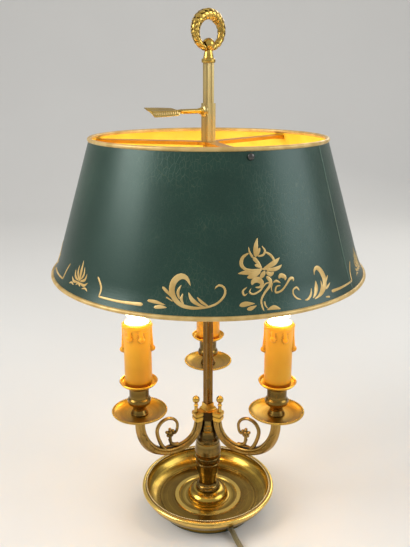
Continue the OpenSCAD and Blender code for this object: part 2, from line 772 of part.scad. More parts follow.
// The wax drips round a sleeve: the turn from the first one, and the length
DRIPS = [[0, 30], [64, 13], [111, 14], [178, 28], [222, 17], [262, 24], [306, 12]];
module candle_sleeve(az, turn) {
  top = z_saucer + candle_h;
  color("ivory") out_at(az, arm_reach) difference() {
    union() {
      translate([0, 0, z_saucer]) cylinder(r = candle_r, h = candle_h);
      translate([0, 0, top - 5.5]) rotate_extrude() polygon([
        [candle_r - 0.5, 0], [candle_r, 0], [candle_r + drip_out * 0.55, 2], [candle_r + drip_out * 0.6, 4.6],
        [candle_r + 0.2, 5.5], [candle_r - 0.5, 5.5]
      ]);
      for (drip = DRIPS) rotate([0, 0, turn + drip[0]]) translate([candle_r - 0.2, 0, 0]) {
        translate([0, 0, top - drip[1]]) cylinder(r = drip_out * 0.65, h = drip[1] - 4, $fn = 16);
        translate([0, 0, top - drip[1]]) sphere(r = drip_out, $fn = 16);
      }
    }
    translate([0, 0, z_saucer - 1]) cylinder(r = candle_r - candle_wall, h = candle_h + 2);
  }
}

module lampholder(az) {
  color("white") out_at(az, arm_reach, z_holder) difference() {
    union() {
      translate([0, 0, -3]) cylinder(r = nipple_r + 4, h = 6);
      cylinder(r = holder_r, h = holder_h);
    }
    translate([0, 0, holder_h - cap_h - 0.2]) cylinder(r = cap_r + 0.1, h = cap_h + 2);
    translate([0, 0, -4]) cylinder(r = nipple_hole_r, h = 8);
    translate([0, 0, 2]) cylinder(r = nipple_bore_r + 0.5, h = 12);
  }
}

module bulb_cap(az) {
  color("silver") out_at(az, arm_reach, z_cap) rotate_extrude() polygon([
    [0, 0], [2.4, 0], [2.6, 1.2], [cap_r - 1.2, 3.4], [cap_r, 4.4], [cap_r, cap_h], [0, cap_h]
  ]);
}

// Outside of a bulb: neck, belly, and a drawn-in tip
function bulb_line() = let (h = bulb_h, r = bulb_r) smooth([
  [cap_r, 0], [cap_r + 0.7, 3], [r * 0.66, h * 0.12], [r * 0.94, h * 0.26], [r, h * 0.4], [r * 0.86, h * 0.57],
  [r * 0.58, h * 0.75], [r * 0.34, h * 0.88], [r * 0.17, h * 0.965]
], 3);
module bulb_glass(az) {
  line = bulb_line();
  color("lightyellow", 0.6) out_at(az, arm_reach, z_bulb) rotate_extrude() polygon(concat(
    line, [[0, bulb_h]], [[0, bulb_h - glass_t * 1.6]],
    backwards([for (q = beside(line, glass_t)) if (q[1] > glass_t && q[1] < bulb_h - glass_t * 1.8) q]),
    [[line[0][0] - glass_t, 0]]
  ));
}

// ---------- Wiring ----------

// A lead inside its nipple and arm, in the arm's own plane
function lead_line() = concat(
  [[arm_reach, z_holder - 2], [arm_reach, (z_holder + arm_top) / 2]],
  backwards(arm_line(12)), [[arm_root_r, z_lead]]
);
module wiring() {
  color("firebrick") {
    for (az = ARM_AZ) out_at(az) {
      plane_bar(lead_line(), round_section(lead_r, 8));
      translate([arm_root_r, 0, z_lead]) sphere(r = lead_r, $fn = 24);
      translate([0, 0, z_lead]) radial_rod(lead_r, lead_at_r, arm_root_r);
      translate([lead_at_r, 0, z_lead]) sphere(r = lead_r, $fn = 24);
      translate([lead_at_r, 0, z_lead_low]) cylinder(r = lead_r, h = z_lead - z_lead_low);
    }
    out_at(cord_az, 0, z_skirt + 0.2) translate([-lead_at_r - lead_r, -3.2, 0]) cube([connector_r + 4, 6.4, 2 * lead_r]);
    out_at(cord_az, connector_r, z_skirt + 0.2) translate([0, -connector_w / 2, 0])
      cube([connector_l, connector_w, connector_h]);
  }
}

// ---------- Shade ----------

shade_slope = (shade_bottom_r - flare_out - shade_top_r) / shade_h;
function shade_r(z) = shade_top_r + (z_shade_top - z) * shade_slope;
function shade_line(n = 8) = concat(
  [[shade_top_r, z_shade_top]],
  [for (i = [0:n]) let (t = i / n, z = z_shade_bottom + flare_h * (1 - t)) [shade_r(z) + flare_out * t * t, z]]
);
module shade_cone() {
  line = shade_line();
  color("darkslategray") difference() {
    rotate_extrude($fn = 96) polygon(sheet(line, -shade_t));
    for (az = LEG_AZ) out_at(az, 0, screw_z) radial_rod(shade_screw_r + fit, shade_top_r - 12, shade_top_r + 12);
  }
}
module rim(c) {
  color("goldenrod") rotate_extrude($fn = 96) difference() {
    translate(c) circle(r = shade_roll_r, $fn = 24);
    polygon(sheet(shade_line(), -shade_t));
  }
}
module shade_top_rim() { rim([shade_top_r - shade_t / 2, z_shade_top]); }
module shade_bottom_rim() { rim([shade_bottom_r - shade_t / 2, z_shade_bottom]); }

screw_z = z_shade_top - shade_roll_r - shade_head_r - 1;
module carrier_hole(h) {
  linear_extrude(h) square(rod_w + 2 * slide_gap, center = true);
}
tab_t = 1.6;
tab_foot = screw_z - shade_screw_r - 1.2;
wall_gap = 0.03;
module shade_spider() {
  color("goldenrod") difference() {
    union() {
      translate([0, 0, spider_z]) cylinder(r = carrier_w * 0.75 + 3, h = leg_t);
      for (az = LEG_AZ) out_at(az) intersection() {
        translate([0, -leg_w / 2, tab_foot]) cube([shade_top_r + 10, leg_w, z_leg - tab_foot]);
        // Inside the cone, and hollow below the leg but for the tab along the wall
        rotate_extrude($fn = 96) polygon([
          [0, spider_z], [shade_r(spider_z) - shade_t - tab_t, spider_z], [shade_r(tab_foot) - shade_t - tab_t, tab_foot],
          [shade_r(tab_foot) - shade_t - wall_gap, tab_foot], [shade_r(z_leg) - shade_t - wall_gap, z_leg], [0, z_leg]
        ]);
      }
    }
    translate([0, 0, spider_z - 1]) rotate([0, 0, rod_yaw - 90]) carrier_hole(leg_t + 2);
    for (az = LEG_AZ) out_at(az, 0, screw_z) radial_rod(shade_screw_r + fit, shade_top_r - 5, shade_top_r + 12);
  }
}

module shade_screws() {
  wall_r = shade_r(screw_z);
  color("silver") for (az = LEG_AZ) out_at(az, 0, screw_z) {
    radial_rod(shade_screw_r, wall_r - shade_t - tab_t - 2, wall_r + 1.4);
    translate([wall_r + 1.05, 0, 0]) rotate([0, 90, 0]) rotate_extrude($fn = 32)
      polygon(concat([[0, 0]], arc([0, 0], shade_head_r, 1.7, 0, 90, 8)));
  }
}

// ---------- Carrier and arrow ----------

arrow_az = rod_yaw - 90;
knob_end = carrier_w / 2 + knob_out;
module shade_carrier() {
  color("darkkhaki") difference() {
    union() {
      translate([0, 0, z_leg]) rotate([0, 0, rod_yaw - 90]) linear_extrude(carrier_h) fluted_square(carrier_w, carrier_flute);
      out_at(arrow_az, carrier_w / 2, z_arrow) scale([knob_out / knob_r, 1, 1]) sphere(r = knob_r);
    }
    translate([0, 0, z_leg - 1]) rotate([0, 0, rod_yaw - 90]) carrier_hole(carrier_h + 2);
    out_at(arrow_az, 0, z_arrow) radial_rod(arrow_shank_r + arrow_gap, rod_w / 2 - 0.5, knob_end + 1);
    out_at(arrow_az, knob_end - 0.6, z_arrow - 7) translate([0, -7, 0]) cube([5, 14, 14]);
  }
}

// Outline of the feathered end: barbs that widen towards a shallow swallow tail
function feather_edge() = let (l = feather_l, w = feather_w / 2) [
  [0, 2.2], [l * 0.06, w * 0.42], [l * 0.14, w * 0.76], [l * 0.48, w * 0.9], [l * 0.5, w * 0.94], [l * 0.92, w],
  [l, w * 0.98], [l * 0.98, w * 0.66], [l * 0.94, w * 0.4], [l * 0.92, 0]
];
module arrow_screw() {
  edge = feather_edge();
  from_r = knob_end - 0.6;
  feather_r = carrier_w / 2 + arrow_l - feather_l;
  color("gold") out_at(arrow_az, 0, z_arrow) rotate([-feather_tilt, 0, 0]) {
    radial_rod(arrow_shank_r, rod_w / 2 + 0.15, from_r + 1);
    translate([from_r + 0.1, 0, 0]) rotate([0, 90, 0]) rotate_extrude($fn = 32)
      polygon([[0, 0], [3.2, 0], [3.5, 0.6], [3.4, 1.6], [2.8, 3.4], [0, 3.4]]);
    translate([from_r + 3, -2.4, -2]) cube([feather_r - from_r - 2, 4.8, 4]);
    translate([feather_r, 0, -feather_t / 2]) linear_extrude(feather_t)
      polygon(concat(edge, backwards([for (q = edge) [q[0], -q[1]]])));
  }
}

// ---------- Cord, switch and plug ----------

module cord_bush() {
  color("black") out_at(cord_az, 0, z_exit) difference() {
    rotate([0, 90, 0]) rotate_extrude() polygon([
      [0, bush_from_r], [cord_r + 0.45, bush_from_r], [bush_r, foot_r - 10], [bush_r, foot_r + 0.8],
      [cord_r + 0.4, foot_r + 1.8], [0, foot_r + 1.8]
    ]);
    radial_rod(cord_r + fit, bush_from_r - 1, foot_r + 3);
  }
}

module cord_to_switch() {
  color("palegoldenrod") space_tube(smooth(TO_SWITCH, 2), cord_r - 0.01, cord_sides);
}
module cord_past_switch() {
  color("palegoldenrod") {
    space_tube(smooth(TO_COIL, 2), cord_r - 0.01, cord_sides);
    space_tube(smooth(TO_PLUG, 2), cord_r - 0.01, cord_sides);
  }
}

module cord_coil() {
  bevel = 2.4;
  color("khaki") translate([coil_x, coil_y, 0]) rotate_extrude() polygon([
    [coil_in_r + bevel, 0], [coil_out_r - bevel, 0], [coil_out_r, bevel], [coil_out_r, coil_h - bevel],
    [coil_out_r - bevel, coil_h], [coil_in_r + bevel, coil_h], [coil_in_r, coil_h - bevel], [coil_in_r, bevel]
  ]);
}

tie_t = 0.8;
tie_w = 6;
module coil_tie() {
  r = (coil_in_r + coil_out_r) / 2;
  w = coil_out_r - coil_in_r + 0.6;
  color("black") translate([coil_x - r, coil_y, 0]) rotate([90, 0, 0]) translate([0, 0, -tie_w / 2])
    linear_extrude(tie_w) difference() {
      translate([-w / 2 - tie_t, 0]) square([w + 2 * tie_t, coil_h + tie_t + 0.1]);
      translate([-w / 2, -1]) square([w, coil_h + 1.05]);
    }
}

// Rounded box outline of the in-line switch, seen from above
module switch_outline(inset) {
  l = switch_l / 2 - inset;
  w = switch_w / 2 - inset;
  polygon([
    [-l, -w * 0.45], [-l + 8, -w * 0.9], [-l + 14, -w], [l - 14, -w], [l - 8, -w * 0.9], [l, -w * 0.45],
    [l, w * 0.45], [l - 8, w * 0.9], [l - 14, w], [14 - l, w], [8 - l, w * 0.9], [-l, w * 0.45]
  ]);
}
module at_switch(z = 0) { translate([switch_x, switch_y, z]) children(); }
module cord_holes() {
  at_switch(z_split) translate([-switch_l, 0, 0]) radial_rod(cord_r + fit, 0, 2 * switch_l);
}
switch_wall = 2;
rocker_l = 17;
rocker_w = 11;
rocker_gap = 0.35;
pivot_r = 1.2;
z_pivot = switch_h - 1.6;
rocker_tip = 9;
module switch_base() {
  color("black") difference() {
    at_switch() linear_extrude(z_split) switch_outline(0);
    at_switch(switch_wall) linear_extrude(switch_h) switch_outline(switch_wall);
    cord_holes();
  }
}
module switch_lid() {
  lug_y = rocker_w / 2 + rocker_gap;
  lug_h = 4.5;
  color("black") difference() {
    union() {
      difference() {
        at_switch() union() {
          translate([0, 0, z_split]) linear_extrude(switch_h - z_split - 1.2) switch_outline(0);
          translate([0, 0, switch_h - 1.2]) linear_extrude(1.2) switch_outline(1);
        }
        at_switch(z_split - 1) linear_extrude(switch_h - z_split - switch_wall + 1) switch_outline(switch_wall);
      }
      for (side = [0, 180]) at_switch(switch_h - 0.5 - lug_h) rotate([0, 0, side])
        translate([-3, lug_y, 0]) cube([6, 2.4, lug_h]);
    }
    at_switch(z_split) translate([-rocker_l / 2 - rocker_gap, -rocker_w / 2 - rocker_gap, 0])
      cube([rocker_l + 2 * rocker_gap, rocker_w + 2 * rocker_gap, switch_h]);
    cord_holes();
    at_switch(z_pivot) rotate([90, 0, 0]) cylinder(r = pivot_r + fit, h = rocker_w + 5, center = true);
  }
}
module switch_rocker() {
  l = rocker_l / 2 - 0.4;
  color("dimgray") at_switch(z_pivot) rotate([0, -rocker_tip, 0]) rotate([90, 0, 0]) {
    linear_extrude(rocker_w, center = true) polygon([
      [-l, -2.4], [-3, -4.4], [3, -4.4], [l, -2.4], [l, 2.2], [l * 0.5, 2.7], [0, 2.9], [-l * 0.5, 2.7], [-l, 2.2]
    ]);
    cylinder(r = pivot_r, h = rocker_w + 4, center = true);
  }
}

module plug_body() {
  relief_l = 20;
  l = plug_l;
  w = plug_w / 2;
  color("black") difference() {
    union() {
      intersection() {
        translate([plug_x, plug_y, 0]) linear_extrude(plug_t) polygon([
          [0, -w * 0.5], [9, -w * 0.74], [l - 12, -w], [l, -w], [l, w], [l - 12, w], [9, w * 0.74], [0, w * 0.5]
        ]);
        translate([plug_x, plug_y, 0]) rotate([90, 0, 0]) linear_extrude(2 * plug_w, center = true) polygon([
          [0, 2.4], [12, 0], [l, 0], [l, plug_t], [12, plug_t], [0, plug_t - 2.4]
        ]);
      }
      translate([plug_x, plug_y, z_plug]) rotate([0, -90, 0]) cylinder(r1 = 5, r2 = 4, h = relief_l * 0.3);
    }
    translate([plug_x - relief_l, plug_y, z_plug]) radial_rod(cord_r + fit, 0, relief_l + 4);
    for (side = [-1, 1]) translate([plug_x, plug_y + side * pin_gap / 2, z_plug]) radial_rod(2.05, l - 8, l + 1);
  }
}
module plug_pins() {
  color("silver") for (side = [-1, 1]) translate([plug_x, plug_y + side * pin_gap / 2, z_plug]) {
    radial_rod(2, plug_l - 7.9, plug_l + pin_l - 1);
    translate([plug_l + pin_l - 1, 0, 0]) sphere(r = 2, $fn = 24);
  }
}

base_felt();
base_weight();
base_dish();
base_nut();
centre_tube();
boss_dome();
column_collar();
column_baluster();
column_neck();
hub_body();
hub_cover();
acorn_screws();
rod_plinth();
stem_rod();
finial_base();
finial_ring();
arm(FRONT_LEFT);  // arm_front_left
arm(FRONT_RIGHT);  // arm_front_right
arm(BACK);  // arm_back
scroll(FRONT_LEFT);  // scroll_front_left
scroll(FRONT_RIGHT);  // scroll_front_right
scroll(BACK);  // scroll_back
rosettes();
bobeche(FRONT_LEFT);  // bobeche_front_left
bobeche(FRONT_RIGHT);  // bobeche_front_right
bobeche(BACK);  // bobeche_back
candle_cup(FRONT_LEFT);  // candle_cup_front_left
candle_cup(FRONT_RIGHT);  // candle_cup_front_right
candle_cup(BACK);  // candle_cup_back
cup_nipples();
candle_sleeve(FRONT_LEFT, 330);  // candle_sleeve_front_left
candle_sleeve(FRONT_RIGHT, 206);  // candle_sleeve_front_right
candle_sleeve(BACK, 97);  // candle_sleeve_back
lampholder(FRONT_LEFT);  // lampholder_front_left
lampholder(FRONT_RIGHT);  // lampholder_front_right
lampholder(BACK);  // lampholder_back
bulb_cap(FRONT_LEFT);  // bulb_cap_front_left
bulb_cap(FRONT_RIGHT);  // bulb_cap_front_right
bulb_cap(BACK);  // bulb_cap_back
bulb_glass(FRONT_LEFT);  // bulb_glass_front_left
bulb_glass(FRONT_RIGHT);  // bulb_glass_front_right
bulb_glass(BACK);  // bulb_glass_back
wiring();
shade_carrier();
shade_spider();
shade_cone();
shade_top_rim();
shade_bottom_rim();
shade_screws();
arrow_screw();
cord_bush();
cord_to_switch();
cord_past_switch();
cord_coil();
coil_tie();
switch_base();
switch_lid();
switch_rocker();
plug_body();
plug_pins();
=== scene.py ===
"""The looks of a bouillotte lamp: brass, painted metal, wax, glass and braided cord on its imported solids.

Lengths are in metres, or in millimetres where a class says so, in the frame of the solids: +Z up, -Y
towards the front, the origin on the table under the stem. Azimuths are in degrees, counted from the
front towards +X.
"""

from __future__ import annotations

import logging
import math
from dataclasses import dataclass, field, replace
from enum import Enum

import bmesh
import bpy
import numpy as np
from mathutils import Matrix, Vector

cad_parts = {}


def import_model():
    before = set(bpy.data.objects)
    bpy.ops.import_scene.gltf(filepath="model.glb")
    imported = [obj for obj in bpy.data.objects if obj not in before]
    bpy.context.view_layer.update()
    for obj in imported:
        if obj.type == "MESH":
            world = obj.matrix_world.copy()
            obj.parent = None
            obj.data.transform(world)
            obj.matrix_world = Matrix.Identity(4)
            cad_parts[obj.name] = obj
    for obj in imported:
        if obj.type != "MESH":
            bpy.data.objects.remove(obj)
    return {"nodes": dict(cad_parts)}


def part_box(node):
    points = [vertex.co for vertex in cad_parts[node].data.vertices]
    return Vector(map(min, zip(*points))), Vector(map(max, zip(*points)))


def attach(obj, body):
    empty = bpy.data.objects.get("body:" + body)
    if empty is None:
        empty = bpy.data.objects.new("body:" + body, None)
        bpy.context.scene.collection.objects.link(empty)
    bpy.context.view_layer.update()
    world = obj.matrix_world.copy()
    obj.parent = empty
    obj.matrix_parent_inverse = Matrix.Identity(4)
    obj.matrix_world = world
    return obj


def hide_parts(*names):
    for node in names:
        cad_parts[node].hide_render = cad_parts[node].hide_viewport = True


log = logging.getLogger("lamp")

MM = 0.001
SIDES = {"front_left": -60.0, "front_right": 60.0, "back": 180.0}
SIDEWAYS = np.array([0.0, -1.0, 0.0])
ARM_REACH = 83.7 * MM
Colour = tuple[float, float, float]
Place = tuple[float, float, float]


class Body(Enum):
    """The bodies that new pieces ride on. No new piece rides on the rocker, so it isn't here."""

    STAND = "stand"
    SHADE = "shade"
    ARROW = "arrow"


# ---------------------------------------------------------------- shapes


def smooth_line(points: np.ndarray, count: int) -> np.ndarray:
    """Samples a Catmull-Rom curve through the points, evenly in its own parameter.

    Each stretch from b to c, with neighbours a and d, is half of 2b + (c-a)t + (2a-5b+4c-d)t2 +
    (3b-a-3c+d)t3, and the first and last points stand in for the neighbours past the ends.

    Args:
        points: The points that the curve passes through, one per row.
        count: How many samples are wanted.

    Returns:
        The samples, one per row.
    """
    points = np.asarray(points, float)
    padded = np.vstack([points[:1], points, points[-1:]])
    place = np.linspace(0, len(points) - 1, count)
    left = np.minimum(place.astype(int), len(points) - 2)
    t = (place - left)[:, None]
    a, b, c, d = (padded[left + k] for k in range(4))
    return (2 * b + (c - a) * t + (2 * a - 5 * b + 4 * c - d) * t**2 + (3 * b - a - 3 * c + d) * t**3) / 2


def even_line(points: np.ndarray, count: int) -> np.ndarray:
    """Resamples a line so that its samples lie evenly along its length."""
    steps = np.linalg.norm(np.diff(points, axis=0), axis=1)
    run = np.concatenate([[0.0], np.cumsum(steps)])
    places = np.linspace(0, run[-1], count)
    return np.column_stack([np.interp(places, run, points[:, k]) for k in range(points.shape[1])])


def line_length(points: np.ndarray) -> float:
    """The length of a line through points."""
    return float(np.linalg.norm(np.diff(points, axis=0), axis=1).sum())


def unit(vectors: np.ndarray) -> np.ndarray:
    """Vectors scaled to length one, along the last axis."""
    return vectors / np.maximum(np.linalg.norm(vectors, axis=-1, keepdims=True), 1e-12)


def headings(points: np.ndarray) -> np.ndarray:
    """The direction of a line at each of its points."""
    return unit(np.gradient(points, axis=0))


def leftwards(line: np.ndarray) -> np.ndarray:
    """At each point of a flat line, the unit vector to the left of its direction."""
    along = headings(line)
    return np.column_stack([-along[:, 1], along[:, 0]])


def circle(count: int, turn: float = 2 * math.pi) -> np.ndarray:
    """Angles spaced evenly round a circle, in radians, or in degrees where the whole turn is 360."""
    return np.linspace(0, turn, count, endpoint=False)


def outwards(azimuth: float) -> np.ndarray:
    """The matrix that takes (out, sideways, up) to the frame's axes at an azimuth."""
    a = math.radians(azimuth)
    return np.array([[math.sin(a), math.cos(a), 0], [-math.cos(a), math.sin(a), 0], [0, 0, 1]])


def stacked(x: np.ndarray, y: np.ndarray, z: np.ndarray) -> np.ndarray:
    """Points on the grid that the three coordinates span together."""
    return np.stack(np.broadcast_arrays(x, y, z), axis=-1)


def polar(azimuth: np.ndarray, radius: np.ndarray, z: np.ndarray) -> np.ndarray:
    """Points at azimuths in degrees, radii and heights, on any grid."""
    a = np.radians(azimuth)
    return stacked(radius * np.sin(a), -radius * np.cos(a), z)


def squared_off(wave: np.ndarray, power: float | np.ndarray) -> np.ndarray:
    """A sine or cosine with its sign kept and its size raised to a power: below one squares a circle off."""
    return np.sign(wave) * np.abs(wave) ** power


@dataclass
class Shape:
    """Points and four-cornered faces, with a pair of surface coordinates at each face's corners."""

    points: np.ndarray
    faces: np.ndarray
    corners: np.ndarray

    @staticmethod
    def lattice(grid: np.ndarray, around: bool = False, closed: bool = False) -> Shape:
        """The surface through a grid of points.

        Args:
            grid: Rows by columns by three.
            around: Whether the last column joins the first.
            closed: Whether the last row joins the first.

        Returns:
            The surface, whose first coordinate runs along the columns and second along the rows.
        """
        rows, columns = grid.shape[:2]
        i, j = np.meshgrid(np.arange(rows if closed else rows - 1),
                           np.arange(columns if around else columns - 1), indexing="ij")
        down, right = (i + 1) % rows, (j + 1) % columns
        faces = np.stack([i * columns + j, i * columns + right,
                          down * columns + right, down * columns + j], -1)
        u, v = j / columns, i / rows
        du, dv = 1 / columns, 1 / rows
        corners = np.stack([np.stack([u, v], -1), np.stack([u + du, v], -1),
                            np.stack([u + du, v + dv], -1), np.stack([u, v + dv], -1)], -2)
        return Shape(grid.reshape(-1, 3), faces.reshape(-1, 4), corners.reshape(-1, 4, 2))

    def __add__(self, other: Shape) -> Shape:
        """Both shapes as one."""
        return Shape(np.vstack([self.points, other.points]),
                     np.vstack([self.faces, other.faces + len(self.points)]),
                     np.vstack([self.corners, other.corners]))

    def placed(self, matrix: np.ndarray, offset: np.ndarray | None = None) -> Shape:
        """The shape turned by a matrix and then moved."""
        moved = self.points @ np.asarray(matrix, float).T
        return Shape(moved if offset is None else moved + offset, self.faces, self.corners)

    def moved(self, offset: np.ndarray) -> Shape:
        """The shape moved."""
        return Shape(self.points + offset, self.faces, self.corners)

    def copies(self, matrices: np.ndarray, offsets: np.ndarray) -> Shape:
        """Many turned and moved copies as one shape, worked out together.

        Args:
            matrices: One three by three matrix per copy.
            offsets: One offset per copy.

        Returns:
            All copies.
        """
        count = len(offsets)
        points = np.einsum("nij,pj->npi", matrices, self.points) + offsets[:, None, :]
        faces = self.faces[None] + (np.arange(count) * len(self.points))[:, None, None]
        return Shape(points.reshape(-1, 3), faces.reshape(-1, 4), np.tile(self.corners, (count, 1, 1)))

    def build(self, name: str, solid: bool = True, weld: float = 1e-6) -> bpy.types.Object:
        """Puts the shape into a smooth mesh object at the origin.

        Args:
            name: The object's name.
            solid: Whether the shape encloses its inside, so that its faces can be turned outwards.
            weld: How close two points are that become one.

        Returns:
            The object, linked to the scene.
        """
        mesh = bpy.data.meshes.new(name)
        mesh.from_pydata(self.points.tolist(), [], self.faces.tolist())
        layer = mesh.uv_layers.new(name="surface")
        layer.data.foreach_set("uv", self.corners.reshape(-1).astype(np.float32))
        work = bmesh.new()
        work.from_mesh(mesh)
        bmesh.ops.remove_doubles(work, verts=work.verts, dist=weld)
        if solid:
            bmesh.ops.recalc_face_normals(work, faces=work.faces)
        work.to_mesh(mesh)
        work.free()
        mesh.shade_smooth()
        thing = bpy.data.objects.new(name, mesh)
        bpy.context.scene.collection.objects.link(thing)
        return thing


def combined(shapes: list[Shape]) -> Shape:
    """Any number of shapes as one."""
    total = shapes[0]
    for shape in shapes[1:]:
        total = total + shape
    return total


def capped(grid: np.ndarray) -> Shape:
    """The tube through rings of points, with each end drawn together in the middle of its last ring."""
    ends = np.repeat(grid[[0, -1]].mean(axis=1, keepdims=True), grid.shape[1], axis=1)
    return Shape.lattice(np.concatenate([ends[:1], grid, ends[1:]]), around=True)


def two_faced(upper: np.ndarray, lower: np.ndarray) -> np.ndarray:
    """Rings that run along the rows of an upper face and back along a lower one with the same edges."""
    return np.concatenate([upper, lower[:, ::-1][:, 1:-1]], axis=1)


def lathe(profile: np.ndarray, turns: int) -> Shape:
    """A closed profile of (radius, height) turned about the origin: a point is (r sin a, -r cos a, z)."""
    azimuth = circle(turns, 360)[None, :]
    return Shape.lattice(polar(azimuth, profile[:, :1], profile[:, 1:]), around=True, closed=True)


def bar(path: np.ndarray, section: np.ndarray, sizes: np.ndarray, side: np.ndarray) -> Shape:
    """A section carried along a path and closed at both ends.

    A point is path + size * (section_x * side + section_y * lift), where lift is across both the path
    and the side.

    Args:
        path: The middle line, one point per row.
        section: Points round the section as (sideways, lift).
        sizes: The section's scale at each point of the path.
        side: The sideways direction, one vector or one per point.

    Returns:
        The closed bar.
    """
    along = headings(path)
    side = unit(np.broadcast_to(side, path.shape) - along * np.sum(along * side, -1, keepdims=True))
    lift = np.cross(along, side)
    scaled = section[None] * np.asarray(sizes, float).reshape(-1, 1, 1)
    grid = path[:, None] + scaled[..., :1] * side[:, None] + scaled[..., 1:] * lift[:, None]
    ends = np.repeat(path[[0, -1], None], grid.shape[1], axis=1)
    return Shape.lattice(np.concatenate([ends[:1], grid, ends[1:]]), around=True)


def round_section(radius: float, count: int = 16) -> np.ndarray:
    """Points round a circle."""
    a = circle(count)
    return radius * np.column_stack([np.cos(a), np.sin(a)])


def ball(radii: np.ndarray | float, rows: int = 10, columns: int = 14) -> Shape:
    """A ball, or an ellipsoid, about the origin: (rx cos p cos a, ry cos p sin a, rz sin p)."""
    p = np.linspace(-np.pi / 2, np.pi / 2, rows)[:, None]
    a = circle(columns)[None]
    grid = np.stack([np.cos(p) * np.cos(a), np.cos(p) * np.sin(a), np.sin(p) * np.ones_like(a)], -1)
    return Shape.lattice(grid * radii, around=True)


def leaf(length: float, width: float, thick: float, arch: float, rows: int, columns: int) -> Shape:
    """A pointed leaf along +X with a raised midrib, its back towards -Z.

    Across, y = w(s) t with w(s) = width/2 sin(pi s^0.8), and the face rises to thick (1 - t2) plus a
    narrow rib. The whole is bent up by arch s2.

    Args:
        length: From stalk to tip.
        width: At the widest place.
        thick: How far the middle stands above the edge.
        arch: How far the tip is lifted.
        rows: Points along the leaf.
        columns: Points across the leaf.

    Returns:
        The closed leaf.
    """
    s = np.linspace(0, 1, rows)[:, None]
    t = np.linspace(-1, 1, columns)[None]
    half = width / 2 * np.sin(np.pi * np.clip(s, 0.03, 0.985) ** 0.8)
    rib = np.exp(-((t / 0.22) ** 2)) * 0.35
    top = thick * (1 - t**2 + rib) * np.sin(np.pi * np.clip(s, 0.06, 0.94)) ** 0.5 + arch * s**2
    under = arch * s**2 - thick * 0.4 * (1 - t**2)
    return capped(two_faced(stacked(length * s, half * t, top), stacked(length * s, half * t, under)))


def bead_row(count: int, radius: float, z: float, bead: Shape) -> Shape:
    """Beads set evenly round the upright axis."""
    places = polar(circle(count, 360), radius, z)
    return bead.copies(np.broadcast_to(np.eye(3), (count, 3, 3)), places)


def outer_profile(node: str) -> tuple[np.ndarray, np.ndarray]:
    """The heights and radii of the rings on a turned node's outward faces, lowest first."""
    mesh = frame["nodes"][node].data
    points = np.array([v.co for v in mesh.vertices])
    rings = []
    for face in mesh.polygons:
        corner = points[list(face.vertices)]
        middle = corner.mean(axis=0)[:2]
        if np.dot(middle, np.array(face.normal)[:2]) > 0.3 * np.hypot(*middle):
            rings.append(np.column_stack([np.round(corner[:, 2], 5), np.hypot(corner[:, 0], corner[:, 1])]))
    rings = np.vstack(rings)
    heights, place = np.unique(rings[:, 0], return_inverse=True)
    return heights, np.bincount(place, rings[:, 1]) / np.bincount(place)


# ---------------------------------------------------------------- shader trees

Value = float | tuple | bpy.types.NodeSocket


class Tree:
    """Adds nodes to one shader tree, with their inputs set or linked as they are made."""

    def __init__(self, tree: bpy.types.NodeTree) -> None:
        """Takes the tree to add to."""
        self.tree = tree

    def set(self, socket: bpy.types.NodeSocket, value: Value) -> None:
        """Links a socket to another, or sets its own value."""
        if isinstance(value, bpy.types.NodeSocket):
            self.tree.links.new(value, socket)
        elif isinstance(value, tuple) and socket.type == "RGBA" and len(value) == 3:
            socket.default_value = (*value, 1.0)
        else:
            socket.default_value = value

    def add(self, kind: str, inputs: dict[str | int, Value] | None = None,
            **settings: object) -> bpy.types.Node:
        """Adds a node.

        Args:
            kind: The node's type without "ShaderNode".
            inputs: Values or sockets for its inputs, by name or number.
            settings: The node's own properties.

        Returns:
            The node.
        """
        node = self.tree.nodes.new("ShaderNode" + kind)
        for name, value in settings.items():
            setattr(node, name, value)
        for name, value in (inputs or {}).items():
            self.set(node.inputs[name], value)
        return node

    def math(self, operation: str, *values: Value) -> bpy.types.NodeSocket:
        """The result of a Math node."""
        return self.add("Math", dict(enumerate(values)), operation=operation).outputs[0]

    def vector(self, operation: str, *values: Value) -> bpy.types.Node:
        """A Vector Math node."""
        return self.add("VectorMath", dict(enumerate(values)), operation=operation)

    def mix(self, factor: Value, first: Value, second: Value) -> bpy.types.NodeSocket:
        """Two colours mixed by a factor."""
        node = self.add("Mix", data_type="RGBA")
        self.set(node.inputs["Factor"], factor)
        self.set(node.inputs[6], first)
        self.set(node.inputs[7], second)
        return node.outputs[2]

    def between(self, value: Value, low: Value, high: Value, to_low: Value = 0.0,
                to_high: Value = 1.0) -> bpy.types.NodeSocket:
        """A value taken smoothly from one range to another and held at its ends."""
        return self.add("MapRange", {0: value, 1: low, 2: high, 3: to_low, 4: to_high},
                        interpolation_type="SMOOTHSTEP").outputs[0]

    def here(self) -> bpy.types.NodeSocket:
        """The point being shaded, in the object's own coordinates."""
        return self.add("TexCoord").outputs["Object"]

    def noise(self, scale: Value, detail: float = 3.0, at: Value | None = None) -> bpy.types.NodeSocket:
        """Smooth noise from 0 to 1."""
        place = self.here() if at is None else at
        return self.add("TexNoise", {"Vector": place, "Scale": scale, "Detail": detail}).outputs["Fac"]

    def height(self, at: Value) -> bpy.types.NodeSocket:
        """The upward part of a vector."""
        return self.add("SeparateXYZ", {0: at}).outputs["Z"]

    def level(self, at: Value) -> bpy.types.NodeSocket:
        """A vector without its upward part."""
        return self.vector("MULTIPLY", at, (1.0, 1.0, 0.0)).outputs[0]


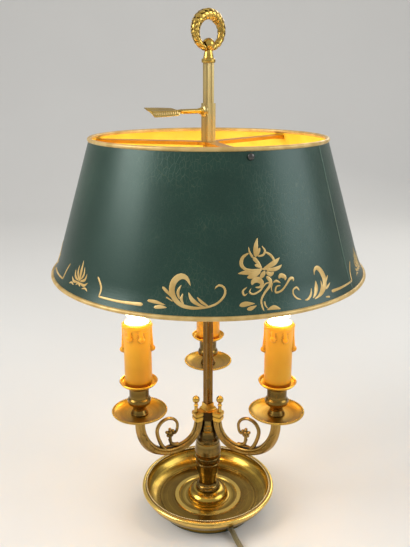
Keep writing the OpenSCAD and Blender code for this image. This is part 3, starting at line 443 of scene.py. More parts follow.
class Group(Tree):
    """A shader node group with named sockets."""

    def __init__(self, name: str, inputs: dict[str, tuple[str, Value]], outputs: dict[str, str]) -> None:
        """Makes the group with its sockets.

        Args:
            name: The group's name.
            inputs: Each input's type and first value, by name.
            outputs: Each output's type, by name.
        """
        super().__init__(bpy.data.node_groups.new(name, "ShaderNodeTree"))
        for socket, (kind, value) in inputs.items():
            made = self.tree.interface.new_socket(socket, in_out="INPUT", socket_type="NodeSocket" + kind)
            made.default_value = (*value, 1.0) if kind == "Color" else value
        for socket, kind in outputs.items():
            self.tree.interface.new_socket(socket, in_out="OUTPUT", socket_type="NodeSocket" + kind)
        self.given = self.tree.nodes.new("NodeGroupInput").outputs
        self.result = self.tree.nodes.new("NodeGroupOutput").inputs


class Effects:
    """The effects that several finishes share, each made once."""

    def __init__(self) -> None:
        """Builds the groups."""
        self.patina = self._patina()
        self.turning = self._turning()
        self.grain = self._grain()

    @staticmethod
    def _patina() -> bpy.types.NodeTree:
        """Metal that is bright where it is rubbed and dark in its hollows and in cloudy patches."""
        g = Group("patina", {"Bright": ("Color", (0.8, 0.5, 0.15)), "Dark": ("Color", (0.3, 0.15, 0.04)),
                             "Hollow": ("Float", 0.7), "Cloud": ("Float", 0.5), "Reach": ("Float", 0.004)},
                  {"Color": "Color", "Tarnish": "Float", "Height": "Float"})
        open_air = g.add("AmbientOcclusion", {"Distance": g.given["Reach"]}, samples=6).outputs["AO"]
        hollow = g.math("MULTIPLY", g.between(open_air, 0.95, 0.35), g.given["Hollow"])
        cloud = g.between(g.noise(38.0, 5.0), 0.42, 0.72)
        speck = g.between(g.noise(420.0, 2.0), 0.6, 0.78)
        patches = g.math("MULTIPLY", g.math("ADD", cloud, g.math("MULTIPLY", speck, 0.3)), g.given["Cloud"])
        tarnish = g.math("MINIMUM", g.math("ADD", hollow, patches), 1.0)
        g.set(g.result["Color"], g.mix(tarnish, g.given["Bright"], g.given["Dark"]))
        g.set(g.result["Tarnish"], tarnish)
        g.set(g.result["Height"], g.noise(900.0, 2.0))
        return g.tree

    @staticmethod
    def _turning() -> bpy.types.NodeTree:
        """Fine rings left by a lathe about an upright axis, from noise of the distance to it."""
        g = Group("turning rings", {"Centre": ("Vector", (0.0, 0.0, 0.0)), "Lines": ("Float", 900.0)},
                  {"Height": "Float", "Tone": "Float"})
        away = g.vector("SUBTRACT", g.here(), g.given["Centre"]).outputs[0]
        radius = g.vector("LENGTH", g.level(away)).outputs["Value"]
        up = g.math("MULTIPLY", g.height(away), 0.8)
        at = g.add("CombineXYZ", {0: radius, 1: up, 2: 0.0}).outputs[0]
        g.set(g.result["Height"], g.noise(g.given["Lines"], 2.0, at))
        g.set(g.result["Tone"], g.noise(g.math("MULTIPLY", g.given["Lines"], 0.22), 3.0, at))
        return g.tree

    @staticmethod
    def _grain() -> bpy.types.NodeTree:
        """A fine even grain with a slow drift of tone."""
        g = Group("grain", {"Color": ("Color", (0.5, 0.5, 0.5)), "Second": ("Color", (0.4, 0.4, 0.4)),
                            "Scale": ("Float", 800.0)},
                  {"Color": "Color", "Height": "Float", "Mask": "Float"})
        mask = g.between(g.noise(g.math("MULTIPLY", g.given["Scale"], 0.05), 4.0), 0.35, 0.65)
        g.set(g.result["Color"], g.mix(mask, g.given["Color"], g.given["Second"]))
        g.set(g.result["Height"], g.noise(g.given["Scale"], 3.0))
        g.set(g.result["Mask"], mask)
        return g.tree


class Surface(Tree):
    """A new material with one Principled shader."""

    def __init__(self, name: str, **constants: Value) -> None:
        """Makes the material.

        Args:
            name: The material's name.
            constants: The shader's own values, with underscores for the spaces in socket names.
        """
        self.material = bpy.data.materials.new(name)
        self.material.use_nodes = True
        super().__init__(self.material.node_tree)
        self.shader = self.tree.nodes["Principled BSDF"]
        self.feed(**constants)

    def use(self, group: bpy.types.NodeTree, inputs: dict[str, Value]) -> dict[str, bpy.types.NodeSocket]:
        """Places an effect and gives its outputs."""
        node = self.add("Group", inputs, node_tree=group)
        return {socket.name: socket for socket in node.outputs}

    def feed(self, **inputs: Value) -> None:
        """Links or sets inputs of the shader, with underscores for spaces."""
        for socket, value in inputs.items():
            self.set(self.shader.inputs[socket.replace("_", " ")], value)

    def raise_by(self, height: Value, distance: float, strength: float = 1.0,
                 under: Value | None = None) -> bpy.types.NodeSocket:
        """A bumped normal, over another one if given."""
        node = self.add("Bump", {"Height": height, "Distance": distance, "Strength": strength})
        if under is not None:
            self.set(node.inputs["Normal"], under)
        return node.outputs["Normal"]


@dataclass(frozen=True)
class Brass:
    """A brass finish, turned or cast, from polished to aged.

    Hollow and cloud say how much dark gathers in hollows and in patches. Lines is how close the rings of
    the lathe are, ring_depth how deep and tone how dark. Above a given height, fresh takes over within
    highlight_run: painted light on the parts that the light falls on more. Each band is (radius, half width,
    amount) in millimetres about the lamp's axis: a painted highlight ring in fresh by the amount, or a
    painted dark reflection where the amount is below zero. Inside the recess radius, upright faces are
    darkened as painted shade.
    """

    band_edge = 0.9
    recess_edge = 1.2 * MM
    name: str
    bright: Colour
    dark: Colour
    roughness: float
    hollow: float = 0.7
    cloud: float = 0.4
    lines: float = 900.0
    ring_depth: float = 0.00003
    tone: float = 0.4
    recess: float = 0.0
    # The colour of painted highlights: the bright bands and the parts above a given height.
    fresh: Colour = (0.86, 0.52, 0.06)
    highlight_run: float = 2 * MM
    bands: tuple[tuple[float, float, float], ...] = ()

    def material(self, effects: Effects, centre: np.ndarray | None = None,
                 lit_from: float | None = None) -> bpy.types.Material:
        """The material.

        Args:
            effects: The shared effects.
            centre: Where the upright axis of its lathe rings stands, if it was turned.
            lit_from: The height above which it is painted lighter, as painted light, if it is.

        Returns:
            The material.
        """
        s = Surface(self.name, Metallic=1.0, Coat_Weight=0.12, Coat_Roughness=0.12)
        patina = s.use(effects.patina, {"Bright": self.bright, "Dark": self.dark, "Hollow": self.hollow,
                                        "Cloud": self.cloud})
        rough = s.math("ADD", s.math("MULTIPLY", patina["Tarnish"], 0.22), self.roughness)
        colour, normal = patina["Color"], s.raise_by(patina["Height"], 0.00002, 0.35)
        if centre is not None:
            rings = s.use(effects.turning, {"Centre": tuple(centre), "Lines": self.lines})
            tone = s.between(rings["Tone"], 0.38, 0.66, 0.0, self.tone)
            colour = s.mix(tone, colour, self.dark)
            normal = s.raise_by(rings["Height"], self.ring_depth, 0.5, normal)
        # Painted reflections: bright rings in the highlight colour, or dark rings where the amount is below
        # zero.
        for middle, half, amount in self.bands:
            off = s.math("ABSOLUTE", s.math("SUBTRACT", self._from_axis(s), middle * MM))
            band = s.between(off, half * MM, (half - self.band_edge) * MM, 0.0, abs(amount))
            colour = s.mix(band, colour, self.fresh if amount > 0 else self.dark)
        # Painted light: from the given height up, the colour turns to the highlight colour and the finish a
        # little rougher.
        if lit_from is not None:
            lit_share = s.between(s.height(s.here()), lit_from, lit_from + self.highlight_run)
            colour = s.mix(lit_share, colour, self.fresh)
            rough = s.math("ADD", rough, s.math("MULTIPLY", lit_share, 0.1))
        # Painted shade: upright faces inside the recess radius are darkened and roughened.
        if self.recess:
            away = self._from_axis(s)
            facing = s.height(s.add("NewGeometry").outputs["True Normal"])
            side = s.between(s.math("ABSOLUTE", facing), 0.6, 0.2)
            recess_shade = s.math("MULTIPLY", side, s.between(away, self.recess, self.recess - self.recess_edge))
            colour = s.mix(recess_shade, colour, self.dark)
            rough = s.math("ADD", rough, s.math("MULTIPLY", recess_shade, 0.25))
        s.feed(Base_Color=colour, Roughness=rough, Normal=normal)
        return s.material

    @staticmethod
    def _from_axis(s: Surface) -> bpy.types.NodeSocket:
        """How far the point being shaded is from the lamp's upright axis."""
        return s.vector("LENGTH", s.level(s.here())).outputs["Value"]


@dataclass(frozen=True)
class Plain:
    """A finish with a fine grain and two near colours, for plastic, rubber, felt, paint and plain metals."""

    name: str
    colour: Colour
    second: Colour
    roughness: float
    scale: float = 800.0
    depth: float = 0.00004
    metallic: float = 0.0
    coat: float = 0.0
    sheen: float = 0.0

    def material(self, effects: Effects) -> bpy.types.Material:
        """The material."""
        s = Surface(self.name, Metallic=self.metallic, Coat_Weight=self.coat, Coat_Roughness=0.1,
                    Sheen_Weight=self.sheen)
        grain = s.use(effects.grain, {"Color": self.colour, "Second": self.second, "Scale": self.scale})
        rough = s.between(grain["Mask"], 0.0, 1.0, self.roughness * 0.9, self.roughness * 1.1)
        s.feed(Base_Color=grain["Color"], Roughness=rough,
               Normal=s.raise_by(grain["Height"], self.depth, 0.6))
        return s.material


POLISHED = Brass("polished brass", (0.68, 0.45, 0.095), (0.17, 0.088, 0.016), 0.18, cloud=0.38)
# The bands on the spun dish are painted reflections: bright rings where the rim and raised ring catch light,
# dark rings beside them.
SPUN = Brass("spun brass", (0.62, 0.41, 0.07), (0.14, 0.075, 0.013), 0.19, cloud=0.42, ring_depth=0.00006,
             tone=0.75, fresh=(0.92, 0.64, 0.17),
             bands=((36.5, 3.2, 0.55), (31.6, 2.0, -0.6), (41.5, 2.2, -0.5), (27.0, 1.6, 0.4),
                    (56.9, 1.4, -0.5), (77.5, 4.4, 0.9)))
AGED = Brass("aged brass", (0.44, 0.27, 0.07), (0.035, 0.019, 0.005), 0.24, hollow=1.0, cloud=0.6)
CUP = Brass("cup brass", (0.26, 0.155, 0.03), (0.030, 0.016, 0.004), 0.22, hollow=1.0, cloud=0.6)
# The stem is dark low down and lighter from 0.30 m up: painted shade below and painted light above.
STEM = Brass("stem brass", (0.24, 0.125, 0.022), (0.09, 0.045, 0.008), 0.25, hollow=0.7, cloud=0.4,
             fresh=(0.50, 0.385, 0.16), highlight_run=90 * MM)
COLUMN = Brass("column brass", (0.27, 0.175, 0.045), (0.030, 0.017, 0.005), 0.20, hollow=1.0, cloud=0.6)
# Brass painted lighter than the rest, as the lit shade's reflection in the pans.
PAN = Brass("pan brass", (0.62, 0.37, 0.05), (0.26, 0.135, 0.018), 0.33, cloud=0.34, ring_depth=0.00005,
            tone=0.5)
# Bright as painted light: the bulbs above light the hub more than the rest of the brass.
HUB = Brass("hub brass", (0.80, 0.47, 0.075), (0.07, 0.036, 0.008), 0.27, hollow=1.0, cloud=0.35)
BEAD = Brass("bead brass", (1.0, 0.86, 0.50), (0.50, 0.32, 0.09), 0.30, hollow=0.6, cloud=0.2)
# The lobed hub's recess is darkened as painted shade.
LOBES = replace(HUB, name="lobed hub brass", recess=11.4 * MM)
BRACKET = Brass("bracket brass", (0.62, 0.31, 0.035), (0.32, 0.14, 0.015), 0.46, hollow=0.5, cloud=0.3)
GILT = Plain("gold paint", (0.70, 0.49, 0.19), (0.54, 0.35, 0.11), 0.42, 1500.0, 0.00003, 0.35)
FELT = Plain("green felt", (0.02, 0.055, 0.03), (0.03, 0.075, 0.04), 0.95, 2200.0, 0.0002, sheen=0.4)
IRON = Plain("cast iron", (0.03, 0.03, 0.032), (0.05, 0.045, 0.04), 0.75, 500.0, 0.0003)
STEEL = Plain("blackened steel", (0.07, 0.07, 0.07), (0.11, 0.105, 0.10), 0.28, 900.0, 0.00002, 1.0)
# The lap's lighter green is a painted highlight along its edge.
SEAM_SHEEN = Plain("seam paint with painted highlight", (0.10, 0.17, 0.13), (0.16, 0.21, 0.16), 0.45, 700.0)
RUBBER = Plain("black rubber", (0.012, 0.012, 0.012), (0.02, 0.02, 0.02), 0.6, 900.0)
GLOSS = Plain("black gloss plastic", (0.012, 0.011, 0.010), (0.018, 0.016, 0.014), 0.28, 700.0, 0.00002,
              coat=0.4)
SATIN = Plain("black satin plastic", (0.016, 0.015, 0.014), (0.024, 0.022, 0.02), 0.42, 1400.0, 0.00005)
HOLDER = Plain("white holder plastic", (0.74, 0.71, 0.64), (0.68, 0.64, 0.56), 0.45, 900.0)
NICKEL = Plain("nickel", (0.60, 0.59, 0.56), (0.50, 0.49, 0.46), 0.26, 900.0, 0.00002, 1.0)
CAP = Plain("cap aluminium", (0.72, 0.72, 0.73), (0.62, 0.62, 0.63), 0.3, 900.0, 0.00002, 1.0)
LEADS = Plain("lead sheath", (0.20, 0.03, 0.015), (0.16, 0.02, 0.01), 0.5)


class Finishes:
    """Every material of the lamp, made once and handed out by name."""

    # Where the stem's painted light begins.
    stem_bright_from = 0.30

    def __init__(self) -> None:
        """Makes the shared effects and every finish that has no place of its own."""
        shared = Effects()
        self.effects = shared
        self.felt = FELT.material(shared)
        self.iron = IRON.material(shared)
        self.gilt = GILT.material(shared)
        self.steel = STEEL.material(shared)
        self.seam_sheen = SEAM_SHEEN.material(shared)
        self.rubber = RUBBER.material(shared)
        self.switch = GLOSS.material(shared)
        self.satin = SATIN.material(shared)
        self.holder = HOLDER.material(shared)
        self.nickel = NICKEL.material(shared)
        self.cap = CAP.material(shared)
        self.leads = LEADS.material(shared)
        self.wax = self._wax()
        self.glow = self._glow()
        self.tole = self._tole()
        self.braid = self._braid()
        self.polished = POLISHED.material(shared)
        self.aged = AGED.material(shared)
        self.stem = STEM.material(shared, lit_from=self.stem_bright_from)
        self.bracket = BRACKET.material(shared)
        self.hub = HUB.material(shared)
        self.lobes = LOBES.material(shared)
        self.bead = BEAD.material(shared)

    def turned(self, finish: Brass, centre: np.ndarray, lit_from: float | None = None) -> bpy.types.Material:
        """A brass with lathe rings about a centre, painted lighter above a height as painted light, if one is
        given.
        """
        return finish.material(self.effects, centre, lit_from)

    def _wax(self) -> bpy.types.Material:
        """Ivory candle covers, coloured deep orange as painted light from the warm bulbs: cloudy, a little
        see-through, with a painted glow towards the bulb end, painted shade in the creases and a faint
        painted emission.
        """
        s = Surface("candle wax", Roughness=0.36, Specular_Tint=(1.0, 0.72, 0.34, 1.0),
                    Subsurface_Weight=0.35, Subsurface_Scale=0.004,
                    Subsurface_Radius=(1.0, 0.5, 0.22), Coat_Weight=0.15, Coat_Roughness=0.25)
        # The deep orange is painted light: ivory covers coloured as the warm bulbs light them.
        grain = s.use(self.effects.grain,
                      {"Color": (0.70, 0.34, 0.022), "Second": (0.64, 0.29, 0.015), "Scale": 420.0})
        # Painted light: brighter orange towards the top, near the bulb.
        bulb_glow = s.between(s.height(s.here()), Candles.glow_from, Candles.glow_to)
        colour = s.mix(s.math("MULTIPLY", bulb_glow, 0.75), grain["Color"], (0.88, 0.41, 0.03))
        # Painted shade: creases round the drips are darkened, and the painted glow is weaker there.
        open_air = s.add("AmbientOcclusion", {"Distance": 0.005}, samples=8).outputs["AO"]
        colour = s.mix(s.between(open_air, 0.94, 0.66), colour, (0.26, 0.07, 0.005))
        # Painted glow: the wax gives off light though it is no lamp.
        glow = s.mix(bulb_glow, (0.15, 0.05, 0.0), (0.9, 0.33, 0.01))
        s.feed(Base_Color=colour, Normal=s.raise_by(grain["Height"], 0.00012, 0.5), Emission_Color=glow,
               Emission_Strength=s.between(open_air, 0.66, 0.94, 0.05, 0.30))
        return s.material

    def _glow(self) -> bpy.types.Material:
        """Soft white glass, lit from inside and brightest round its belly."""
        s = Surface("lit glass", Base_Color=(1.0, 0.93, 0.80, 1.0), Roughness=0.12, Coat_Weight=0.6,
                    Coat_Roughness=0.04, Emission_Strength=Candles.bulb_strength)
        face = s.add("LayerWeight", {"Blend": 0.35}).outputs["Facing"]
        s.feed(Emission_Color=s.mix(face, (1.0, 0.80, 0.46), (1.0, 0.62, 0.26)))
        return s.material

    def _tole(self) -> bpy.types.Material:
        """Painted sheet: crackled dark green outside, and inside a deep gold that is painted light from the
        bulbs on its pale paint, told apart by which way it faces.
        """
        # The cool green-blue specular tint is painted light: a tint of cool light on the paint's reflections.
        s = Surface("painted sheet", Coat_Weight=0.12, Coat_Roughness=0.25,
                    Specular_Tint=(0.72, 1.0, 0.93, 1.0))
        place = s.here()
        facing = s.add("TexCoord").outputs["Normal"]
        outside = s.between(s.vector("DOT_PRODUCT", s.level(place), facing).outputs["Value"], -0.005, 0.005)
        drift = s.add("TexNoise", {"Vector": place, "Scale": 60.0}).outputs["Color"]
        shift = s.vector("MULTIPLY", drift, (0.004, 0.004, 0.004)).outputs[0]
        warped = s.vector("ADD", place, shift).outputs[0]
        tall = s.vector("MULTIPLY", warped, (1.0, 1.0, 0.45)).outputs[0]
        edge = "DISTANCE_TO_EDGE"
        cracks = s.add("TexVoronoi", {"Vector": tall, "Scale": 300.0}, feature=edge).outputs["Distance"]
        fine = s.add("TexVoronoi", {"Vector": tall, "Scale": 800.0}, feature=edge).outputs["Distance"]
        patch = s.between(s.noise(14.0, 4.0), 0.42, 0.66)
        line = s.math("MULTIPLY", s.between(cracks, 0.05, 0.0), s.between(patch, 0.0, 1.0, 0.1, 0.7))
        hair = s.math("MULTIPLY", s.between(fine, 0.05, 0.0), 0.25)
        crackle = s.math("MAXIMUM", line, hair)
        green = s.mix(patch, (0.004, 0.025, 0.015), (0.008, 0.038, 0.024))
        green = s.mix(s.math("MULTIPLY", crackle, 0.75), green, (0.08, 0.10, 0.06))
        # Painted light: the inside's deep gold stands in for the bulbs' warm light on its pale paint.
        gold = s.mix(s.between(s.noise(25.0, 4.0), 0.4, 0.7), (0.95, 0.66, 0.06), (0.88, 0.56, 0.035))
        s.feed(Base_Color=s.mix(outside, gold, green), Roughness=s.between(outside, 0.0, 1.0, 0.5, 0.34),
               Normal=s.raise_by(s.math("SUBTRACT", 1.0, crackle), 0.00009, 0.7))
        return s.material

    def _braid(self) -> bpy.types.Material:
        """Silky braid: two sets of threads that cross round the cord, from its own surface coordinates."""
        s = Surface("gold braid", Roughness=0.62, Sheen_Weight=0.35, Sheen_Roughness=0.4)
        u, v, _ = s.add("SeparateXYZ", {0: s.add("UVMap", uv_map="surface").outputs[0]}).outputs
        around = s.math("MULTIPLY", u, 2 * math.pi * FlexCord.threads)
        along = s.math("MULTIPLY", v, 2 * math.pi * FlexCord.picks)
        one = s.math("SINE", s.math("ADD", along, around))
        two = s.math("SINE", s.math("SUBTRACT", along, around))
        height = s.math("MAXIMUM", one, two)
        # Painted shade: the low gaps between the threads are coloured nearly black.
        low = s.between(height, -0.6, 0.7)
        fibre = s.between(s.noise(2500.0, 2.0), 0.3, 0.7)
        colour = s.mix(low, (0.08, 0.055, 0.014), s.mix(fibre, (0.26, 0.20, 0.065), (0.35, 0.28, 0.11)))
        s.feed(Base_Color=colour, Normal=s.raise_by(height, 0.0003, 0.8))
        return s.material


def dress(material: bpy.types.Material, *nodes: str) -> None:
    """Gives CAD nodes a material."""
    for node in nodes:
        slots = frame["nodes"][node].data.materials
        slots.clear()
        slots.append(material)


def add_piece(thing: bpy.types.Object, material: bpy.types.Material, body: Body, slot: str,
              *nodes: str) -> bpy.types.Object:
    """Finishes a new piece.

    Args:
        thing: The piece.
        material: Its material.
        body: The body that it rides on.
        slot: A material slot's name; not used.
        nodes: CAD nodes that it stands for.

    Returns:
        The piece.
    """
    thing.data.materials.clear()
    thing.data.materials.append(material)
    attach(thing, body.value)
    if nodes:
        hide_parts(*nodes)
    log.info("%s on %s", thing.name, body.value)
    return thing


# ---------------------------------------------------------------- studio and cord


@dataclass
class Studio:
    """Camera, lights, floor and world. The camera's lens and sensor are in millimetres."""

    distance: float = 0.6354
    height: float = 0.478
    tilt: float = 16.96
    swing: float = 0.302
    lens: float = 41.2
    sensor: float = 36.0
    ground: Colour = (0.80, 0.79, 0.77)
    floor_half: float = 14.0
    bend_from: float = 1.6
    bend_radius: float = 1.2
    wall_top: float = 4.0
    sky: Colour = (0.90, 0.90, 0.89)
    sky_light: float = 0.62
    sky_seen: float = 0.66

    def camera(self) -> None:
        """Puts the camera where it sees the lamp from a little above."""
        data = bpy.data.cameras.new("camera")
        data.sensor_fit, data.lens = "VERTICAL", self.lens
        data.sensor_height = data.sensor_width = self.sensor
        data.clip_start, data.clip_end = 0.01, 50.0
        camera = bpy.data.objects.new("camera", data)
        camera.location = (0.0, -self.distance, self.height)
        camera.rotation_euler = (math.radians(90 - self.tilt), 0.0, math.radians(self.swing))
        bpy.context.scene.collection.objects.link(camera)
        bpy.context.scene.camera = camera

    def pale(self, name: str) -> bpy.types.Material:
        """A matt pale surface with faint, large clouds."""
        s = Surface(name, Roughness=0.9, Specular_IOR_Level=0.2)
        tone = s.mix(s.noise(3.0, 3.0), self.ground, tuple(c * 0.96 for c in self.ground))
        s.feed(Base_Color=tone)
        return s.material

    def lamp(self, name: str, place: Place, aim: Place, size: float, watts: float, colour: Colour) -> None:
        """Adds a soft square lamp that points at a place."""
        data = bpy.data.lights.new(name, "AREA")
        data.size, data.energy, data.color = size, watts, colour
        thing = bpy.data.objects.new(name, data)
        thing.location = place
        thing.rotation_euler = (Vector(aim) - Vector(place)).to_track_quat("-Z", "Y").to_euler()
        bpy.context.scene.collection.objects.link(thing)

    def room(self) -> None:
        """Makes the floor with its back swept up, the lamps and the world."""
        a = np.linspace(0, np.pi / 2, 24)
        x = np.linspace(-self.floor_half, self.floor_half, 3)
        y = np.concatenate([[-self.floor_half], self.bend_from + self.bend_radius * np.sin(a),
                            [self.bend_from + self.bend_radius]])
        z = np.concatenate([[0.0], self.bend_radius * (1 - np.cos(a)), [self.wall_top]])
        grid = stacked(x[None, :], y[:, None], z[:, None])
        floor = Shape.lattice(grid).build("floor", solid=False)
        floor.data.materials.append(self.pale("pale floor"))
        self.lamp("key", (-1.4, -0.5, 1.2), (0.0, 0.0, 0.25), 0.9, 18.0, (1.0, 0.98, 0.95))
        self.lamp("fill", (1.4, -0.35, 1.0), (0.0, 0.0, 0.2), 1.0, 10.0, (0.93, 0.96, 1.0))
        self.lamp("rim", (0.75, 1.35, 1.2), (0.0, 0.0, 0.3), 0.8, 6.0, (1.0, 0.97, 0.90))
        world = bpy.data.worlds.new("world")
        world.use_nodes = True
        tree = Tree(world.node_tree)
        sky = world.node_tree.nodes["Background"]
        rays = tree.add("LightPath").outputs
        mirrored = tree.math("MAXIMUM", rays["Is Glossy Ray"], rays["Is Transmission Ray"])
        seen = tree.math("MAXIMUM", rays["Is Camera Ray"], mirrored)
        tree.set(sky.inputs["Color"], self.sky)
        tree.set(sky.inputs["Strength"], tree.between(seen, 0.0, 1.0, self.sky_light, self.sky_seen))
        bpy.context.scene.world = world
        bpy.context.scene.view_settings.view_transform = "Standard"


@dataclass
class FlexCord:
    """The braided flex: from the foot to the switch, and from the switch through its coil to the plug.

    The points of both runs are those that the solids follow. They and the lengths that set them are in
    millimetres, but the diameter, and the slack by which the radius is less, are in metres. The picks
    are how often the braid repeats along a run, and the threads how often around it.
    """

    picks = 260.0
    threads = 6
    diameter: float = 6.0 * MM
    slack: float = 0.01 * MM
    exit_azimuth: float = 24.5
    exit_z: float = 5.5
    switch_at: Place = (40.0, -185.0, 8.0)
    switch_half: float = 30.0
    coil_at: tuple[float, float] = (-70.0, -144.0)
    coil_inner: float = 26.0
    layer: float = 6.0
    plug_start: Place = (-24.0, -108.0, 6.8)

    def to_switch(self) -> np.ndarray:
        """The run from the foot to the switch."""
        a = math.radians(self.exit_azimuth)
        start = [[r * math.sin(a), -r * math.cos(a), self.exit_z] for r in (58, 66)]
        x, y, z = self.switch_at
        return np.array([
            *start, [31, -70, 4], [34, -77, 3], [37.5, -86, 3], [45, -95, 3], [58, -100, 3], [72, -101, 3],
            [88, -101, 3], [106, -101, 3], [126, -103, 3], [144, -115, 3], [154, -134, 3], [152, -157, 3],
            [140, -174, 3], [122, -183, 3], [104, -185, 3.5], [88, -185, 6.5],
            [x + self.switch_half + 5, y, z], [x + self.switch_half - 3, y, z]], float)

    def coil(self) -> np.ndarray:
        """The spare turns: a flat spiral inwards, up half a turn, and outwards on top of the first.

        With q in turns, the radius falls by a cord's thickness per turn to q = 2.5, stays at its least
        but for a half wave inwards to q = 3, and grows again to q = 5.5. The height goes smoothly from
        the lower layer to the upper one near q = 2.75, and the azimuth is -360 q.

        Returns:
            The points, in millimetres.
        """
        q = np.linspace(0, 5.5, 5 * 40 + 21)
        inner = self.coil_inner - 1.5 * np.sin(np.pi * np.clip((q - 2.5) / 0.5, 0, 1))
        radius = inner + self.layer * (np.clip(2.5 - q, 0, None) + np.clip(q - 3.0, 0, None))
        rise = np.clip((q - 2.45) / 0.6, 0, 1)
        z = self.layer * (0.5 + rise**2 * (3 - 2 * rise))
        return polar(-360 * q, radius, z) + np.array([*self.coil_at, 0.0])

    def to_plug(self) -> np.ndarray:
        """The run from the switch into the coil's lower layer, up, out of its upper layer, to the plug."""
        x, y, z = self.switch_at
        lead = smooth_line(np.array([
            [x - self.switch_half + 3, y, z], [x - self.switch_half - 5, y, z], [-8, -185, 5],
            [-20, -185, 3.2], [-34, -185, 3], [-47.2, -185, 3], [-62, -185, 3]], float), 40)
        tail = smooth_line(np.array([
            [-70, -103, 9], [-58, -103.2, 9], [-47, -103.8, 8.6], [-43, -104.4, 8.2], [-38, -105.9, 7.4],
            [self.plug_start[0] - 7, -108, 6.8], [self.plug_start[0] + 3, -108, 6.8]], float), 40)
        return np.vstack([lead, self.coil(), tail[1:]])

    def run(self, name: str, points: np.ndarray, pieces: list[str], far_end: str, lay: str,
            material: bpy.types.Material, *nodes: str) -> float:
        """Args:
            name: The run's name.
            points: Its middle line, in metres.
            pieces: The CAD nodes that are on it; not used.
            far_end: What is on its far end; not used.
            lay: How it lies; not used.
            material: Its finish.
            nodes: CAD nodes that it stands for.

        Returns:
            Its length.
        """
        path = even_line(points, max(60, int(line_length(points) / (0.4 * self.diameter))))
        section = round_section(self.diameter / 2 - self.slack, 14)
        tube = bar(path, section, np.ones(len(path)), np.array([0.0, 0.0, 1.0]))
        thing = add_piece(tube.build(name), material, Body.STAND, "cord_braid", *nodes)
        length = round(line_length(path), 3)
        return length

    def build(self, finishes: Finishes) -> None:
        """Makes both runs and dresses the bush, switch, tie and plug."""
        dress(finishes.rubber, "cord_bush")
        dress(finishes.switch, "switch_base", "switch_lid", "switch_rocker")
        dress(finishes.satin, "plug_body", "coil_tie")
        dress(finishes.nickel, "plug_pins")
        first = smooth_line(self.to_switch(), 200) * MM
        one = self.run("cord_to_lamp", first, ["cord_bush"], "fitting", "loose", finishes.braid,
                       "cord_to_switch")
        two = self.run("cord_to_wall", self.to_plug() * MM,
                       ["switch_base", "switch_lid", "switch_rocker", "coil_tie", "plug_body", "plug_pins"],
                       "plug", "coiled", finishes.braid, "cord_past_switch", "cord_coil")
        log.info("cord: %.3f m to the switch and %.3f m past it", one, two)


# ---------------------------------------------------------------- base and column


@dataclass
class DishBase:
    """The spun dish: its solids with lathe rings, a row of beads on a seat and fine steps, in millimetres.

    The seat is a thin ring whose middle is at (radius, height), and the steps are rings at these radii.
    """

    bead_radius: float = 0.74
    bead_ring: float = 71.7
    bead_z: float = 29.0
    bead_count: int = 228
    seat: tuple[float, float] = (72.6, 28.2)
    seat_radius: float = 1.2
    steps: tuple[float, ...] = (55.6, 58.2)
    step_radius: float = 0.45

    def build(self, finishes: Finishes) -> None:
        """Dresses the base and adds its beads and steps."""
        spun = finishes.turned(SPUN, np.zeros(3))
        dress(spun, "base_dish", "boss_dome")
        dress(finishes.felt, "base_felt")
        dress(finishes.iron, "base_weight")
        dress(finishes.stem, "base_nut", "centre_tube")
        bead = ball(self.bead_radius * MM, 6, 8)
        beads = bead_row(self.bead_count, self.bead_ring * MM, self.bead_z * MM, bead)
        add_piece(beads.build("dish_beads", weld=1e-7), finishes.bead, Body.STAND, "polished_brass")
        seat = lathe((np.array(self.seat) + round_section(self.seat_radius, 12)) * MM, 160)
        add_piece(seat.build("dish_bead_seat"), finishes.stem, Body.STAND, "polished_brass")
        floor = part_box("boss_dome")[0].z
        wire = round_section(self.step_radius * MM, 10)
        rings = [lathe(np.array([radius * MM, floor]) + wire, 128) for radius in self.steps]
        add_piece(combined(rings).build("dish_steps"), spun, Body.STAND, "polished_brass")


